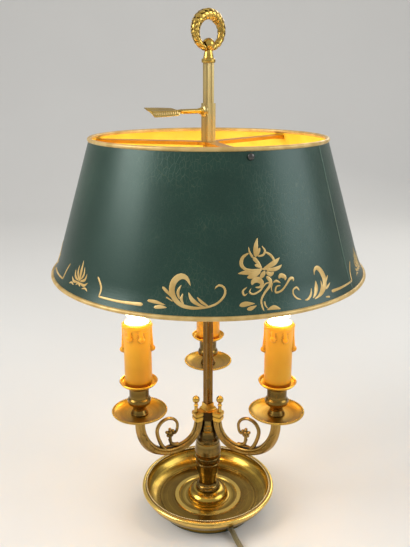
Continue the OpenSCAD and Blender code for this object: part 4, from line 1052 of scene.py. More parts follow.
@dataclass
class Column:
    """The turned column, the hub and the stem with its finial."""

    yaw: float = 36.0
    ring_wire: float = 3.85 * MM
    leaf_rows: int = 20
    leaves_round: int = 6
    leaf_long: float = 6.4 * MM
    leaf_wide: float = 3.9 * MM
    leaf_thick: float = 0.5 * MM
    band_half: float = 0.035 * math.pi

    def build(self, finishes: Finishes) -> None:
        """Dresses the column, hub, stem and finial."""
        dress(finishes.turned(COLUMN, np.zeros(3)), "column_collar", "column_baluster", "column_neck")
        dress(finishes.hub, "rod_plinth")
        dress(finishes.lobes, "hub_body", "hub_cover")
        dress(finishes.polished, "acorn_screws")
        dress(finishes.turned(POLISHED, np.zeros(3)), "finial_base")
        dress(finishes.stem, "stem_rod")
        dress(finishes.leads, "wiring")
        self.laurel(finishes)

    def laurel(self, finishes: Finishes) -> None:
        """The ring handle as a wreath, thicker at its top: pointed leaves round a core, and four bands.

        With a round the ring and b round its own section, a point is ((m + r cos b) cos a,
        (m + r cos b) sin a, r sin b), where r grows towards the top and m keeps the outer radius.
        """
        low, high = (np.array(corner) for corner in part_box("finial_ring"))
        centre, outer = (low + high) / 2, (high[2] - low[2]) / 2
        yaw = math.radians(self.yaw)
        plane = np.array([[math.cos(yaw), math.sin(yaw), 0], [0, 0, 1], [math.sin(yaw), -math.cos(yaw), 0]]).T

        def thick(a: np.ndarray) -> np.ndarray:
            """The radius of the ring's own section at an angle from its right side."""
            return self.ring_wire * (1.1 + 0.28 * np.sin(a))

        def torus(share: float, a: np.ndarray, b: np.ndarray) -> np.ndarray:
            """Points at a share of the section's radius."""
            r = thick(a)
            ring = outer - r + share * r * np.cos(b)
            return stacked(ring * np.cos(a), ring * np.sin(a), share * r * np.sin(b))

        b = circle(20)[None]
        around = circle(96)[:, None]
        core = Shape.lattice(torus(0.84, around, b), around=True, closed=True)
        i, j = np.meshgrid(np.arange(self.leaf_rows), np.arange(self.leaves_round), indexing="ij")
        turn = (2 * np.pi * (i + 0.5 * (j % 2)) / self.leaf_rows).ravel()
        lean = (2 * np.pi * (j + 0.5) / self.leaves_round).ravel()
        along = np.stack([-np.sin(turn), np.cos(turn), np.zeros_like(turn)], -1)
        away = np.stack([np.cos(lean) * np.cos(turn), np.cos(lean) * np.sin(turn), np.sin(lean)], -1)
        size = (thick(turn) / thick(np.zeros(1)))[:, None, None]
        matrices = np.stack([along, np.cross(away, along), away], -1) * size
        blade = leaf(self.leaf_long, self.leaf_wide, self.leaf_thick, -self.leaf_thick, 11, 9)
        leaves = blade.copies(matrices, torus(0.87, turn, lean))
        bands = []
        for middle in np.radians([45, 135, 225, 315]):
            arc = np.linspace(middle - self.band_half, middle + self.band_half, 7)[:, None]
            share = 0.96 + 0.04 * np.cos(np.linspace(-1.2, 1.2, 7))[:, None]
            ends = torus(0.75, arc[[0, -1]], b)
            band = np.concatenate([ends[:1], torus(share, arc, b), ends[1:]])
            bands.append(Shape.lattice(band, around=True))
        wreath = combined([core, leaves, *bands]).placed(plane, centre).build("finial_wreath", weld=1e-7)
        add_piece(wreath, finishes.polished, Body.STAND, "polished_brass", "finial_ring")


# ---------------------------------------------------------------- arms


@dataclass
class Arms:
    """The three cast arms with their scrolls, leaves and flowers, in millimetres in the arm's own plane.

    The boss and each petal are ellipsoids, (out, sideways, up) from their middles. The sheath's spread is
    in degrees, and its thickness is a share of how far it stands from the bar's middle line.
    """

    reach: float = ARM_REACH / MM
    root: float = 11.6
    low: float = 44.0
    left_z: float = 115.0
    low_z: float = 84.5
    right_z: float = 127.9
    top_z: float = 140.3
    half_w: float = 3.8
    half_d: float = 4.0
    strip_half: tuple[float, float] = (1.9, 1.25)
    strip_lift: float = 0.75
    curl_r: float = 13.6
    curl_wire: float = 2.2
    curl_end: float = 1.55
    leaf_thick: float = 0.8
    stalk_r: float = 2.1
    boss: tuple[float, float, float] = (2.8, 3.1, 2.8)
    petal: tuple[float, float, float] = (2.15, 2.3, 1.9)
    petal_ring: float = 3.75
    sheath_spread: float = 112.0
    sheath_thick: float = 0.22

    def upright(self, line: np.ndarray) -> np.ndarray:
        """A line of (out, up) millimetres as points in metres."""
        return np.column_stack([line[:, 0], np.zeros(len(line)), line[:, 1]]) * MM

    def tilted(self, a: float) -> np.ndarray:
        """The matrix that turns a shape up from outwards in the arm's plane, by an angle in radians."""
        return np.array([[math.cos(a), 0, -math.sin(a)], [0, 1, 0], [math.sin(a), 0, math.cos(a)]])

    def middle(self) -> np.ndarray:
        """The arm's middle line: a squarish quarter down from the hub, then a round one up to the cup."""
        t = np.linspace(0, np.pi / 2, 48)
        down = np.column_stack([self.low - (self.low - self.root) * np.cos(t) ** 0.88,
                                self.left_z - (self.left_z - self.low_z) * np.sin(t) ** 0.88])
        up = np.column_stack([self.low + (self.reach - self.low) * np.sin(t),
                              self.right_z - (self.right_z - self.low_z) * np.cos(t)])
        return np.vstack([down, up[1:], [[self.reach, self.top_z]]])

    def swell(self, out: np.ndarray) -> np.ndarray:
        """How much stouter the arm is at a distance from the axis: 0.24 exp(-((out - 0.93 reach)/11)2)."""
        return 0.24 * np.exp(-(((out - 0.93 * self.reach) / 11) ** 2))

    def section(self) -> np.ndarray:
        """A squarish section with hollow sides and a groove along its upper face.

        It is the curve |x/w|^3.4 + |y/d|^3.4 = 1, with x drawn in near the middle of the depth and y
        drawn in over the middle of the upper face.
        """
        a = circle(44)
        x = squared_off(np.cos(a), 2 / 3.4)
        y = squared_off(np.sin(a), 2 / 3.4)
        x = x * (1 - 0.17 * np.exp(-((y / 0.42) ** 2)))
        y = np.where(y > 0, y * (1 - 0.20 * np.exp(-((x / 0.34) ** 2))),
                     y * (1 - 0.05 * np.exp(-((x / 0.3) ** 2))))
        return np.column_stack([x * self.half_w, y * self.half_d]) * MM

    def stem(self) -> Shape:
        """The arm's main bar, stouter near its candle."""
        line = even_line(self.middle(), 90)
        sizes = 1 + self.swell(line[:, 0])
        return bar(self.upright(line), self.section() * [-1, 1], sizes, SIDEWAYS)

    def strip(self) -> Shape:
        """The raised strip along the arm's upper face, from the hub to the foot of the flower's stalk."""
        line = even_line(self.middle(), 90)
        line = line[(line[:, 0] < self.low - 1) & (line[:, 1] < self.left_z - 2.5)]
        line = line + (self.half_d + self.strip_lift) * leftwards(line)
        tip = np.array([[line[-1, 0] + 3.0, line[-1, 1] + 0.9]])
        line = np.vstack([line, tip])
        sizes = np.interp(np.arange(len(line)), [0, 3, len(line) - 3, len(line) - 1], [0.8, 1.0, 1.0, 0.5])
        oval = round_section(1.0, 14) * np.array(self.strip_half) * MM
        return bar(self.upright(line), oval, sizes, SIDEWAYS)

    def curl(self) -> Shape:
        """The C-scroll, drawn out thinner towards a small ball at its end."""
        centre = np.array([self.low + 6.6, self.low_z + 28.4])
        a = np.radians(np.arange(-22, 201, 37))
        radius = self.curl_r * (1.02 - 0.18 * (np.degrees(a) + 22) / 222)
        turn = centre + radius[:, None] * np.column_stack([np.cos(a), np.sin(a)])
        start = np.array([[self.low + 9.0, self.low_z + 3.6], [self.low + 11, self.low_z + 4.8],
                          [self.low + 15.4, self.low_z + 11.4]])
        inward = turn[-1] + np.array([[2.2, -3.4], [4.6, -3.2]])
        line = even_line(smooth_line(np.vstack([start, turn, inward]), 90), 70)
        t = np.linspace(0, 1, len(line))
        flat = round_section(1.0, 16) * np.array([1.15, 1.0]) * self.curl_wire * MM
        scroll = bar(self.upright(line), flat, 1.08 - 0.42 * t, SIDEWAYS)
        end = ball(self.curl_end * MM).moved(self.upright(line[-1:])[0])
        return scroll + end

    def bract(self, place: tuple[float, float], direction: float, length: float, width: float,
              arch: float) -> Shape:
        """A small leaf that springs from a place in the arm's plane, at an angle in degrees from outwards."""
        blade = leaf(length * MM, width * MM, self.leaf_thick * MM, arch * MM, 13, 9)
        turn = self.tilted(math.radians(direction))
        return blade.placed(turn, np.array([place[0], 0.0, place[1]]) * MM)

    def flower(self) -> Shape:
        """The stalk with its bud: five petals round a boss, on both faces, above two sepals."""
        at = np.array([self.low + 4.5, self.low_z + 23])
        line = smooth_line(np.array([[self.low - 5, self.low_z + 5.6], [self.low + 0.5, self.low_z + 7.2],
                                     [self.low + 3.8, self.low_z + 11], at - [0.2, 3.0]]), 30)
        stalk = bar(self.upright(line), round_section(self.stalk_r * MM),
                    np.linspace(1.2, 0.75, len(line)), SIDEWAYS)
        middle = np.array([at[0], 0.0, at[1]]) * MM
        petal = ball(np.array(self.petal) * MM, 9, 12)
        pieces = [stalk, ball(np.array(self.boss) * MM).moved(middle)]
        for a in np.radians(np.arange(18, 360, 72)):
            out = self.tilted(a)
            pieces.append(petal.placed(out, middle + out @ np.array([self.petal_ring, 0, 0]) * MM))
        pieces.append(self.bract((at[0] - 0.5, at[1] - 6.5), 125, 5.5, 3.0, 0.8))
        pieces.append(self.bract((at[0] + 0.3, at[1] - 6.5), 55, 5.5, 3.0, -0.8))
        return combined(pieces)

    def leaves(self) -> Shape:
        """The acanthus tips where the scroll and stalk leave the arm."""
        return combined([self.bract((self.low - 3.5, self.low_z + 6.2), 6, 17, 5.4, -1.2),
                         self.bract((self.low + 4.0, self.low_z + 8.2), 62, 8, 3.6, 1.2),
                         self.bract((self.low + 10.5, self.low_z + 4.6), 14, 10, 4.2, -0.6)])

    def sheath(self) -> Shape:
        """A long leaf wrapped round the arm's outer bend, with a rib and scalloped edges.

        It follows the middle line a little outside the bar: across, the angle round the bar runs over
        the spread each side of the outer face, narrowing to both tips, and the edge waves.
        """
        line = even_line(self.middle(), 140)
        line = line[(line[:, 0] > self.low + 16) & (line[:, 1] < self.top_z - 1.5)]
        s = np.linspace(0, 1, len(line))[:, None]
        t = np.linspace(-1, 1, 21)[None]
        spread = np.radians(self.sheath_spread) * np.sin(np.pi * np.clip(s, 0.02, 0.90) ** 0.75) ** 0.7
        spread = spread * (1 - 0.10 * (0.5 + 0.5 * np.cos(s * 2 * np.pi * 6)))
        angle = spread * t
        swell = 1 + self.swell(line[:, :1])
        lift = swell * (1.05 + 0.10 * np.exp(-((t / 0.12) ** 2)) + 0.05 * np.cos(angle * 6))
        x = squared_off(np.sin(angle), 0.7) * self.half_w * lift
        y = -squared_off(np.cos(angle), 0.7) * self.half_d * lift
        normal = leftwards(line)
        outer = np.stack([line[:, :1] + y * normal[:, :1], x, line[:, 1:] + y * normal[:, 1:]], -1)
        inner = outer - self.sheath_thick * np.stack([y * normal[:, :1], x, y * normal[:, 1:]], -1)
        return capped(np.concatenate([outer, inner[:, ::-1]], axis=1) * MM)

    def build(self, finishes: Finishes) -> None:
        """Makes the arms, their scrolls and the flowers, in place of the plain ones."""
        bar_shape = self.stem() + self.sheath()
        trim = combined([self.strip(), self.curl(), self.leaves()])
        bud = self.flower()
        rosettes = []
        for side, azimuth in SIDES.items():
            turn = outwards(azimuth)
            for shape, kind in ((bar_shape, "arm"), (trim, "scroll")):
                thing = shape.placed(turn).build(f"cast_{kind}_{side}")
                add_piece(thing, finishes.aged, Body.STAND, "aged_brass", f"{kind}_{side}")
            rosettes.append(bud.placed(turn))
        flowers = combined(rosettes).build("cast_flowers")
        add_piece(flowers, finishes.aged, Body.STAND, "aged_brass", "rosettes")


# ---------------------------------------------------------------- candles


@dataclass
class Candles:
    """The pans, cups, wax sleeves and lit bulbs.

    Each drip is (degrees on from the sleeve's first one, length in millimetres).
    """

    glow_from = 0.195
    glow_to = 0.252
    bulb_strength = 14.0
    reach: float = ARM_REACH
    radius: float = 14.2 * MM
    wall: float = 0.9 * MM
    collar_fall: float = 6.8 * MM
    collar_wave: float = 1.3 * MM
    collar_out: float = 0.9 * MM
    run_out: float = 2.5 * MM
    drop_out: float = 4.3 * MM
    drop_half: float = 3.6 * MM
    lip_out: float = 1.55 * MM
    lip_fall: float = 3.2 * MM
    pan_radius: float = 28.4 * MM
    bead_count: int = 74
    bead_radius: float = 1.1 * MM
    bead_sink: float = 0.15 * MM
    # How far below the cup's top its painted light begins: the lit candle above brightens the rim.
    lit_rim: float = 6 * MM
    drips: tuple[tuple[float, float], ...] = (
        (0, 30), (64, 13), (111, 14), (178, 28), (222, 17), (262, 24), (306, 12))
    first_drip: dict[str, float] = field(
        default_factory=lambda: {"front_left": 270, "front_right": 266, "back": 277})

    def sleeve(self, low: float, high: float, turn: float) -> Shape:
        """A tube with wax runs: its radius swells where a run passes, with a drop at each run's end.

        Round a run at angle q with half width w, the swell is out * sqrt(1 - ((angle - q)/w)2) from the
        top down to the run's end, and a round drop closes it. Above a wavy hem the wax makes a thin
        collar, and the top carries a soft rolled lip.

        Args:
            low: The foot's height.
            high: The top's height.
            turn: The angle of the first run.

        Returns:
            The closed sleeve about its own axis.
        """
        columns, rows = 200, 120
        angle = circle(columns, 360)[None]
        z = np.linspace(low, high - 1.2 * MM, rows)[:, None]
        wave = np.radians(angle * 5 + turn)
        hem = high - self.collar_fall - self.collar_wave * np.sin(wave)
        swell = np.clip(z - hem, 0, self.collar_out)
        for number, (place, length) in enumerate(self.drips):
            away = np.radians((angle - turn - place + 180) % 360 - 180) * self.radius
            end = high - length * MM
            width = (2.4 + 0.3 * math.sin(1.7 * number + turn)) * MM
            bend = away + 0.5 * MM * np.sin((high - z) / (5.5 * MM) + number)
            run = self.run_out * np.sqrt(np.clip(1 - (bend / width) ** 2, 0, 1)) * (z > end)
            off = (bend / (width * 1.3)) ** 2 + ((z - end) / self.drop_half) ** 2
            drop = self.drop_out * np.sqrt(np.clip(1 - off, 0, 1))
            taper = np.clip((high + 3 * MM - z) / (length * MM), 0.55, 1.0)
            swell = np.maximum(swell, np.maximum(run * taper, drop))
        bulge = np.exp(-(((z - high + self.lip_fall) / (2.2 * MM)) ** 2))
        swell = np.maximum(swell, self.lip_out * bulge * (1 + 0.2 * np.cos(wave)))
        outer = polar(angle, self.radius + swell, z)
        inner_r = self.radius - self.wall
        edge = [polar(angle, inner_r + self.wall * share + 0 * angle, high - fall * MM + 0 * angle)
                for share, fall in ((0.85, 0.35), (0.45, 0.0), (0.1, 0.25))]
        inside = [polar(angle, inner_r + 0 * angle, height + 0 * angle)
                  for height in (high - 1 * MM, low + 20 * MM, low)]
        return Shape.lattice(np.concatenate([outer, *edge, *inside]), around=True, closed=True)

    def build(self, finishes: Finishes) -> None:
        """Dresses the candle lights and makes their sleeves and the pans' beaded edges."""
        dress(finishes.stem, "cup_nipples")
        for side, azimuth in SIDES.items():
            centre = outwards(azimuth) @ np.array([self.reach, 0.0, 0.0])
            dress(finishes.turned(PAN, centre), f"bobeche_{side}")
            cup_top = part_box(f"candle_cup_{side}")[1].z
            # Painted light: the top of each cup is lighter, lit from the candle above.
            dress(finishes.turned(CUP, centre, cup_top - self.lit_rim), f"candle_cup_{side}")
            dress(finishes.holder, f"lampholder_{side}")
            dress(finishes.cap, f"bulb_cap_{side}")
            dress(finishes.glow, f"bulb_glass_{side}")
            low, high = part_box(f"candle_sleeve_{side}")
            wax = self.sleeve(low.z, high.z, self.first_drip[side]).moved(centre)
            add_piece(wax.build(f"wax_sleeve_{side}"), finishes.wax, Body.STAND, "candle_plastic",
                      f"candle_sleeve_{side}")
            rim_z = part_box(f"bobeche_{side}")[1].z - self.bead_sink
            beads = bead_row(self.bead_count, self.pan_radius, rim_z, ball(self.bead_radius, 7, 10))
            thing = beads.moved(centre).build(f"pan_beads_{side}", weld=1e-7)
            add_piece(thing, finishes.polished, Body.STAND, "polished_brass")


# ---------------------------------------------------------------- shade


@dataclass(frozen=True)
class Stroke:
    """One brush stroke on the shade: its points and its half widths there, in millimetres.

    A point is (azimuth from the motif in degrees, height).
    """

    points: tuple[tuple[float, float], ...]
    widths: tuple[float, ...]

    def mirrored(self) -> Stroke:
        """The same stroke on the other side of the motif's middle."""
        return Stroke(tuple((-across, z) for across, z in self.points), self.widths)


FLOWER = (
    Stroke(((-1.7, 340.5), (-1.5, 345.5), (-1.2, 350), (-0.5, 355.5)), (1.2, 2.1, 1.8, 0.3)),
    Stroke(((-1.4, 341), (-0.7, 344), (0.1, 347.5)), (0.8, 1.5, 0.9)),
    Stroke(((-3.9, 349), (-3.6, 344.5), (-2.6, 340)), (0.3, 0.8, 1.0)),
    Stroke(((0.8, 349), (1.8, 345), (1.0, 341.7), (-1.0, 341)), (0.3, 0.9, 0.9, 0.6)),
    Stroke(((-2.6, 340.5), (-1.4, 337), (-0.5, 334), (0.1, 330.5)), (1.7, 1.5, 1.0, 0.7)),
    Stroke(((-2.2, 334.5), (-1.3, 333.5), (-0.3, 332)), (0.9, 1.2, 0.6)),
    Stroke(((-3.9, 344), (-6, 341), (-6.7, 336), (-5.7, 332), (-3.4, 330.4), (0.1, 330.5)),
           (0.5, 1.3, 1.6, 1.2, 0.9, 0.7)),
    Stroke(((1.8, 344), (3.7, 341), (4.7, 336.8), (4, 333.5), (2.1, 331), (0.1, 330.5)),
           (0.5, 1.1, 1.0, 0.9, 0.9, 0.7)),
    Stroke(((0.1, 330), (-3.1, 328.2), (-5.7, 328.8), (-8, 328.3)), (0.8, 1.2, 1.6, 0.2)),
    Stroke(((-0.3, 329), (-2.8, 326.3), (-5, 324.7)), (0.9, 2.3, 0.9)),
    Stroke(((1.2, 329), (0.3, 326.2), (-0.8, 323.5)), (0.9, 1.9, 0.9)),
    Stroke(((0.5, 330), (2.9, 332.6), (5.1, 335), (7, 338.3)), (1.0, 1.8, 2.0, 0.2)),
    Stroke(((1.6, 329.8), (4.2, 329.4), (6.2, 330.4), (7.5, 332.5)), (1.0, 1.6, 1.4, 0.2)),
    Stroke(((1.5, 328), (3, 325.8), (4.3, 327.3)), (1.1, 1.7, 0.5)),
    Stroke(((1.4, 324.5), (2.7, 321), (2.4, 317), (0.5, 312), (-0.9, 306.5), (-0.9, 301.5), (-0.5, 298)),
           (1.1, 1.6, 1.2, 0.9, 0.8, 0.7, 0.4)),
    Stroke(((-3.6, 318.8), (-3, 321.7), (-1.4, 322.5), (-0.2, 319.5), (-1, 316.6), (-2.6, 316.8)),
           (1.0, 1.9, 2.4, 1.8, 1.0, 0.4)),
    Stroke(((-0.2, 319), (-0.6, 314.7), (-3.1, 311.6), (-4.5, 313.2), (-3.9, 316.2)),
           (0.5, 0.7, 0.7, 0.7, 0.2)),
    Stroke(((-5.2, 317.4), (-6.6, 314.5), (-6.3, 311), (-5.2, 312.4)), (0.2, 0.8, 0.7, 0.2)),
    Stroke(((2.4, 319.3), (1.0, 318.8), (-0.4, 315)), (0.4, 0.6, 0.4)),
    Stroke(((5.8, 321.5), (6.6, 323.9), (8.2, 322), (7.9, 319.5)), (0.6, 1.8, 1.5, 0.3)),
    Stroke(((3.6, 319), (4.8, 320), (6.3, 318)), (0.3, 1.0, 0.3)),
    Stroke(((6.2, 316), (4.6, 315.4), (4.2, 311), (6.4, 312), (8.4, 316.4), (9.9, 320.3), (11.2, 320),
            (11, 317.6)),
           (0.3, 0.7, 0.8, 0.8, 0.8, 1.1, 1.0, 0.2)),
    Stroke(((3.5, 319), (2.8, 315), (3, 311.5)), (0.3, 0.5, 0.2)),
    Stroke(((-8, 303.3), (-6, 304.4), (-3.1, 304.2)), (1.2, 1.9, 0.2)),
    Stroke(((-5.8, 300.3), (-4.4, 300.9), (-2.6, 302.6)), (0.9, 1.5, 0.2)),
    Stroke(((0, 305.3), (0.2, 301.8), (0.8, 299.6)), (0.8, 0.6, 0.3)),
    Stroke(((0.5, 298.6), (2.9, 299.8), (5, 298)), (0.3, 1.7, 0.3)),
)
RIGHT_PLUME = (
    Stroke(((12.9, 309.5), (12.0, 312.4), (10.6, 311), (10.4, 307.5), (11.4, 304), (13, 302.3)),
           (0.6, 0.8, 0.7, 0.7, 0.7, 0.2)),
    Stroke(((18.2, 300.3), (21.6, 302.8), (24, 308), (24.6, 314.5), (23.6, 321), (22, 324.5),
            (20.6, 323), (20.2, 319)),
           (0.4, 1.3, 2.2, 2.6, 2.4, 1.8, 1.1, 0.2)),
    Stroke(((26.8, 316), (26, 313.6), (24.9, 310.5)), (0.2, 0.9, 0.9)),
    Stroke(((27.2, 309.3), (26, 307.4), (24.3, 305.3)), (0.2, 0.9, 0.8)),
    Stroke(((20.3, 314.5), (20.1, 309), (19, 304), (17.6, 301.3)), (0.2, 2.0, 1.4, 0.3)),
    Stroke(((22.7, 313.8), (22.7, 308.3), (21.3, 303.6), (18.9, 300.4)), (0.2, 1.2, 1.0, 0.3)),
    Stroke(((17.9, 309.5), (17.2, 304.7), (15.7, 301.6), (14.2, 301.2)), (0.2, 1.0, 0.9, 0.3)),
    Stroke(((23.2, 299.4), (25.2, 298.6)), (0.5, 0.8)),
    Stroke(((26.8, 302), (34, 301.8), (41.4, 302)), (1.3, 0.9, 0.8)),
    Stroke(((41.4, 301.8), (42.4, 310), (44.6, 318)), (0.7, 0.9, 0.6)),
)
LEFT_PLUME = (
    Stroke(((-23, 319), (-24.3, 325), (-26.3, 326.3), (-28.3, 322.2), (-28.9, 315.3), (-27.9, 308.8),
            (-25.5, 303.8), (-22.4, 302.2), (-19.7, 302.3), (-17, 303.4), (-14.4, 306.3), (-12.5, 311.5),
            (-12.2, 316), (-13, 319), (-14.4, 319.6), (-15.5, 316.6)),
           (0.3, 1.6, 2.4, 2.6, 2.4, 2.0, 1.5, 1.2, 0.9, 0.8, 0.8, 0.9, 0.9, 0.9, 0.8, 0.3)),
    Stroke(((-25.9, 319.5), (-26.9, 314), (-26.3, 308.3)), (0.2, 1.2, 0.5)),
    Stroke(((-25.3, 313), (-25.7, 308.4), (-24.9, 304.4)), (0.3, 1.1, 0.4)),
    Stroke(((-23.6, 314), (-22.4, 308.3), (-20.1, 304.4), (-18.3, 303)), (0.3, 1.6, 1.0, 0.3)),
    Stroke(((-20.9, 310.5), (-19.4, 306.6), (-17.3, 303.4)), (0.3, 1.1, 0.3)),
    Stroke(((-32, 317.2), (-30.4, 313.6), (-28.3, 308.7)), (1.0, 1.2, 0.4)),
    Stroke(((-30.6, 309.4), (-28.3, 306.4)), (0.6, 0.4)),
    Stroke(((-36.5, 305.4), (-33.7, 304.9), (-30.6, 303.3)), (0.9, 1.3, 0.2)),
    Stroke(((-34.1, 300.7), (-32, 301.6), (-30, 301.4)), (1.0, 1.4, 0.2)),
    Stroke(((-37.8, 301.9), (-46, 301.2), (-54.9, 301.3)), (1.4, 1.0, 0.7)),
    Stroke(((-54.7, 301), (-54.6, 308.5), (-57, 316.5)), (0.7, 1.0, 0.8)),
)
FRONDS = (
    Stroke(((0.4, 309), (1.9, 314), (1.7, 321)), (0.5, 1.2, 0.2)),
    Stroke(((0.6, 308), (3.1, 310.4), (3.7, 316)), (0.6, 1.3, 0.2)),
    Stroke(((0.6, 306.5), (3.4, 305.8), (5.1, 309)), (0.6, 1.2, 0.2)),
    Stroke(((2.6, 302.6), (4.4, 303.9), (5.9, 302.2)), (0.3, 0.8, 0.3)),
)
PALMETTE = (
    Stroke(((0, 307), (0, 316), (0.3, 326)), (0.9, 1.7, 0.2)),
    Stroke(((-1.4, 303.6), (0, 306), (1.4, 303.6)), (0.4, 1.2, 0.4)),
    *FRONDS,
    *(frond.mirrored() for frond in FRONDS),
)


@dataclass
class Shade:
    """The painted cone with its gold ornament, lap, rims, spider and carrier.

    A stroke's degrees are as long as they are at the height scale_z. Its samples lie about sample_gap
    millimetres apart, and its half width is least_half millimetres or more before its ends are rounded.
    """

    flower_azimuth: float = 17.5
    palmette_from_flower: float = 53.5
    repeats: int = 3
    scale_z: float = 0.32
    paint: float = 0.22 * MM
    clear: float = 0.03 * MM
    sample_gap: float = 0.9
    least_half: float = 0.15
    seam_azimuth: float = 57.3
    seam_half: float = 0.5 * MM
    seam_rise: float = 0.35 * MM

    def stroke_shape(self, stroke: Stroke, azimuth: float, heights: np.ndarray, radii: np.ndarray) -> Shape:
        """A stroke laid on the cone as a low ridge of paint.

        The middle line is the smooth curve through the stroke's points. Across it, the paint is
        lift = paint (1 - t4) high and ends are rounded by the square root of the distance to them.

        Args:
            stroke: The stroke.
            azimuth: The motif's azimuth.
            heights: The cone's rings, lowest first.
            radii: The cone's radius at each ring.

        Returns:
            The stroke's surface.
        """
        control = np.column_stack([stroke.points, stroke.widths])
        scale = math.radians(1.0) * float(np.interp(self.scale_z, heights, radii)) / MM
        flat = smooth_line(control * [scale, 1.0, 1.0], 8 * len(control))
        flat = even_line(flat, max(10, min(40, int(line_length(flat[:, :2]) / self.sample_gap))))
        run = np.concatenate([[0], np.cumsum(np.linalg.norm(np.diff(flat[:, :2], axis=0), axis=1))])
        near = np.minimum(run, run[-1] - run)
        half = np.maximum(flat[:, 2], self.least_half)
        half = half * np.sqrt(np.clip(near / np.maximum(half, 0.3), 0.02, 1.0))
        across = leftwards(flat[:, :2])
        t = np.linspace(-1, 1, 7)
        place = flat[:, None, :2] + half[:, None, None] * t[None, :, None] * across[:, None]
        lift = self.paint * (1 - t**4)[None] * np.clip(half / 0.6, 0.3, 1.0)[:, None] + self.clear
        z = place[..., 1] * MM
        grid = polar(azimuth + place[..., 0] / scale, np.interp(z, heights, radii) + lift, z)
        return Shape.lattice(grid)

    def seam(self, heights: np.ndarray, radii: np.ndarray) -> Shape:
        """The lap of the sheet: a low ridge straight up the cone.

        Across it, at t from 1 to -1, the lift over the cone's wall is rise (1 - t4).
        """
        z = np.linspace(heights[0], heights[-1], 24)[:, None]
        t = np.linspace(1, -1, 7)[None]
        wall = np.interp(z, heights, radii)
        turn = self.seam_azimuth + np.degrees(self.seam_half * t / wall)
        return Shape.lattice(polar(turn, wall + self.seam_rise * (1 - t**4) + self.clear, z + 0 * t))

    def ornament(self, heights: np.ndarray, radii: np.ndarray) -> Shape:
        """All the strokes, repeated round the shade."""
        shapes = []
        for number in range(self.repeats):
            start = self.flower_azimuth + 360 * number / self.repeats
            for stroke in FLOWER + RIGHT_PLUME + LEFT_PLUME:
                shapes.append(self.stroke_shape(stroke, start, heights, radii))
            for stroke in PALMETTE:
                shapes.append(self.stroke_shape(stroke, start + self.palmette_from_flower, heights, radii))
        return combined(shapes)

    def build(self, finishes: Finishes) -> None:
        """Dresses the shade and lays its lap and ornament."""
        dress(finishes.tole, "shade_cone")
        dress(finishes.gilt, "shade_top_rim", "shade_bottom_rim")
        dress(finishes.bracket, "shade_spider")
        dress(finishes.stem, "shade_carrier")
        dress(finishes.steel, "shade_screws")
        heights, radii = outer_profile("shade_cone")
        # The lap is lighter than the cone, as a painted highlight along its edge.
        lap = self.seam(heights, radii).build("shade_seam", solid=False, weld=1e-8)
        add_piece(lap, finishes.seam_sheen, Body.SHADE, "shade_paint")
        ornament = self.ornament(heights, radii).build("shade_ornament", solid=False, weld=1e-8)
        add_piece(ornament, finishes.gilt, Body.SHADE, "shade_gilt")


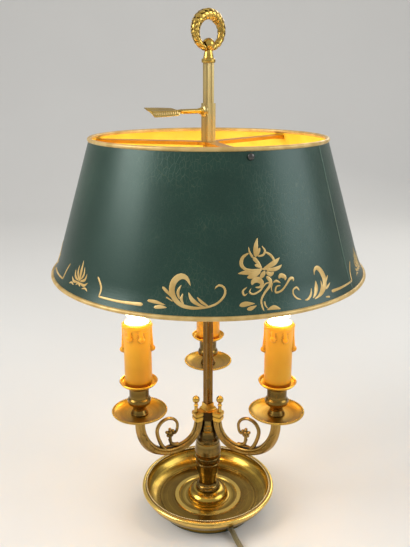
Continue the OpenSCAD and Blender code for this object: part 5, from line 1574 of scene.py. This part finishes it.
@dataclass
class Arrow:
    """The arrow-shaped clamp screw, in millimetres along its own axis."""

    azimuth: float = -54.0
    tilt: float = -22.0
    z: float = 451.5
    knob: float = 7.65
    length: float = 62.0
    feathers: float = 33.0
    carrier: float = 5.25
    half_width: float = 11.0
    barbs: int = 13

    def vane(self) -> Shape:
        """The feathered end: swept barbs on a rounded shaft, stepped at the edge and notched at the tail.

        At s along the vane and t across it, the half width is a stepped bow, the thickness falls from
        the shaft to the edge, and slanting grooves follow s - 0.16|t|.
        """
        rows, columns = 131, 33
        s = np.linspace(0, 1, rows)[:, None]
        t = np.linspace(-1, 1, columns)[None]
        bow = np.interp(s, [0, 0.06, 0.14, 0.5, 0.9, 1.0], [0.24, 0.42, 0.78, 0.93, 1.0, 1.0])
        step = 1 - 0.05 * ((s * self.barbs) % 1.0) * (s > 0.1)
        half = self.half_width * bow * step
        start = self.carrier + self.length - self.feathers
        notch = 2.6 * np.clip((s - 0.6) / 0.4, 0, 1) ** 1.5 * (1 - np.abs(t)) ** 1.1
        x = start + self.feathers * s - notch
        groove = 0.5 + 0.5 * np.cos(2 * np.pi * self.barbs * (s - 0.16 * np.abs(t)))
        edge = 1 - np.abs(t) ** 5
        thick = (0.62 + 0.72 * np.exp(-((t / 0.20) ** 2)) + 0.20 * groove * (np.abs(t) > 0.12)) * edge + 0.14
        return capped(two_faced(stacked(x, half * t, thick), stacked(x, half * t, -thick)))

    def shaft(self) -> Shape:
        """The shaft: a bar with rounded edges that swells into the knob and passes on as the screw."""
        start = self.carrier + self.length - self.feathers
        knob = self.knob + np.array([0, 0.1, 0.7, 1.6, 2.4, 3.4, 5.0])
        x = np.concatenate([[4.2], knob, [start - 3, start + 3]])
        width = np.array([2.0, 2.0, 3.2, 3.5, 3.4, 3.0, 2.7, 2.4, 2.4, 1.9])
        depth = np.array([2.0, 2.0, 3.2, 3.5, 3.4, 2.9, 2.5, 2.0, 1.9, 1.3])
        a = circle(32)[None]
        power = np.where(x > self.knob + 3.2, 0.55, 1.0)[:, None]
        y = width[:, None] * squared_off(np.cos(a), power)
        z = depth[:, None] * squared_off(np.sin(a), power)
        return capped(stacked(x[:, None], y, z))

    def build(self, finishes: Finishes) -> None:
        """Makes the arrow in place of the plain one."""
        a = math.radians(self.tilt)
        tip = np.array([[1, 0, 0], [0, math.cos(a), -math.sin(a)], [0, math.sin(a), math.cos(a)]])
        whole = self.vane() + self.shaft()
        turned = whole.placed(outwards(self.azimuth) @ tip, np.array([0.0, 0.0, self.z]))
        thing = turned.placed(np.eye(3) * MM).build("arrow_clamp")
        add_piece(thing, finishes.polished, Body.ARROW, "polished_brass", "arrow_screw")


# ---------------------------------------------------------------- all together


def corners(box: tuple) -> list[list[float]]:
    """A box as plain lists of numbers."""
    return [[round(float(x), 6) for x in corner] for corner in box]


def main() -> None:
    """Builds the camera and cords, then the rest of the lamp."""
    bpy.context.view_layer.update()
    studio = Studio()
    studio.camera()
    finishes = Finishes()
    FlexCord().build(finishes)
    for part in (DishBase(), Column(), Arms(), Candles(), Shade(), Arrow()):
        part.build(finishes)
        log.info("%s done", type(part).__name__)
    studio.room()


if __name__ == "__main__":
    logging.basicConfig(level=logging.INFO, format="%(name)s: %(message)s")
    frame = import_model()
    main()
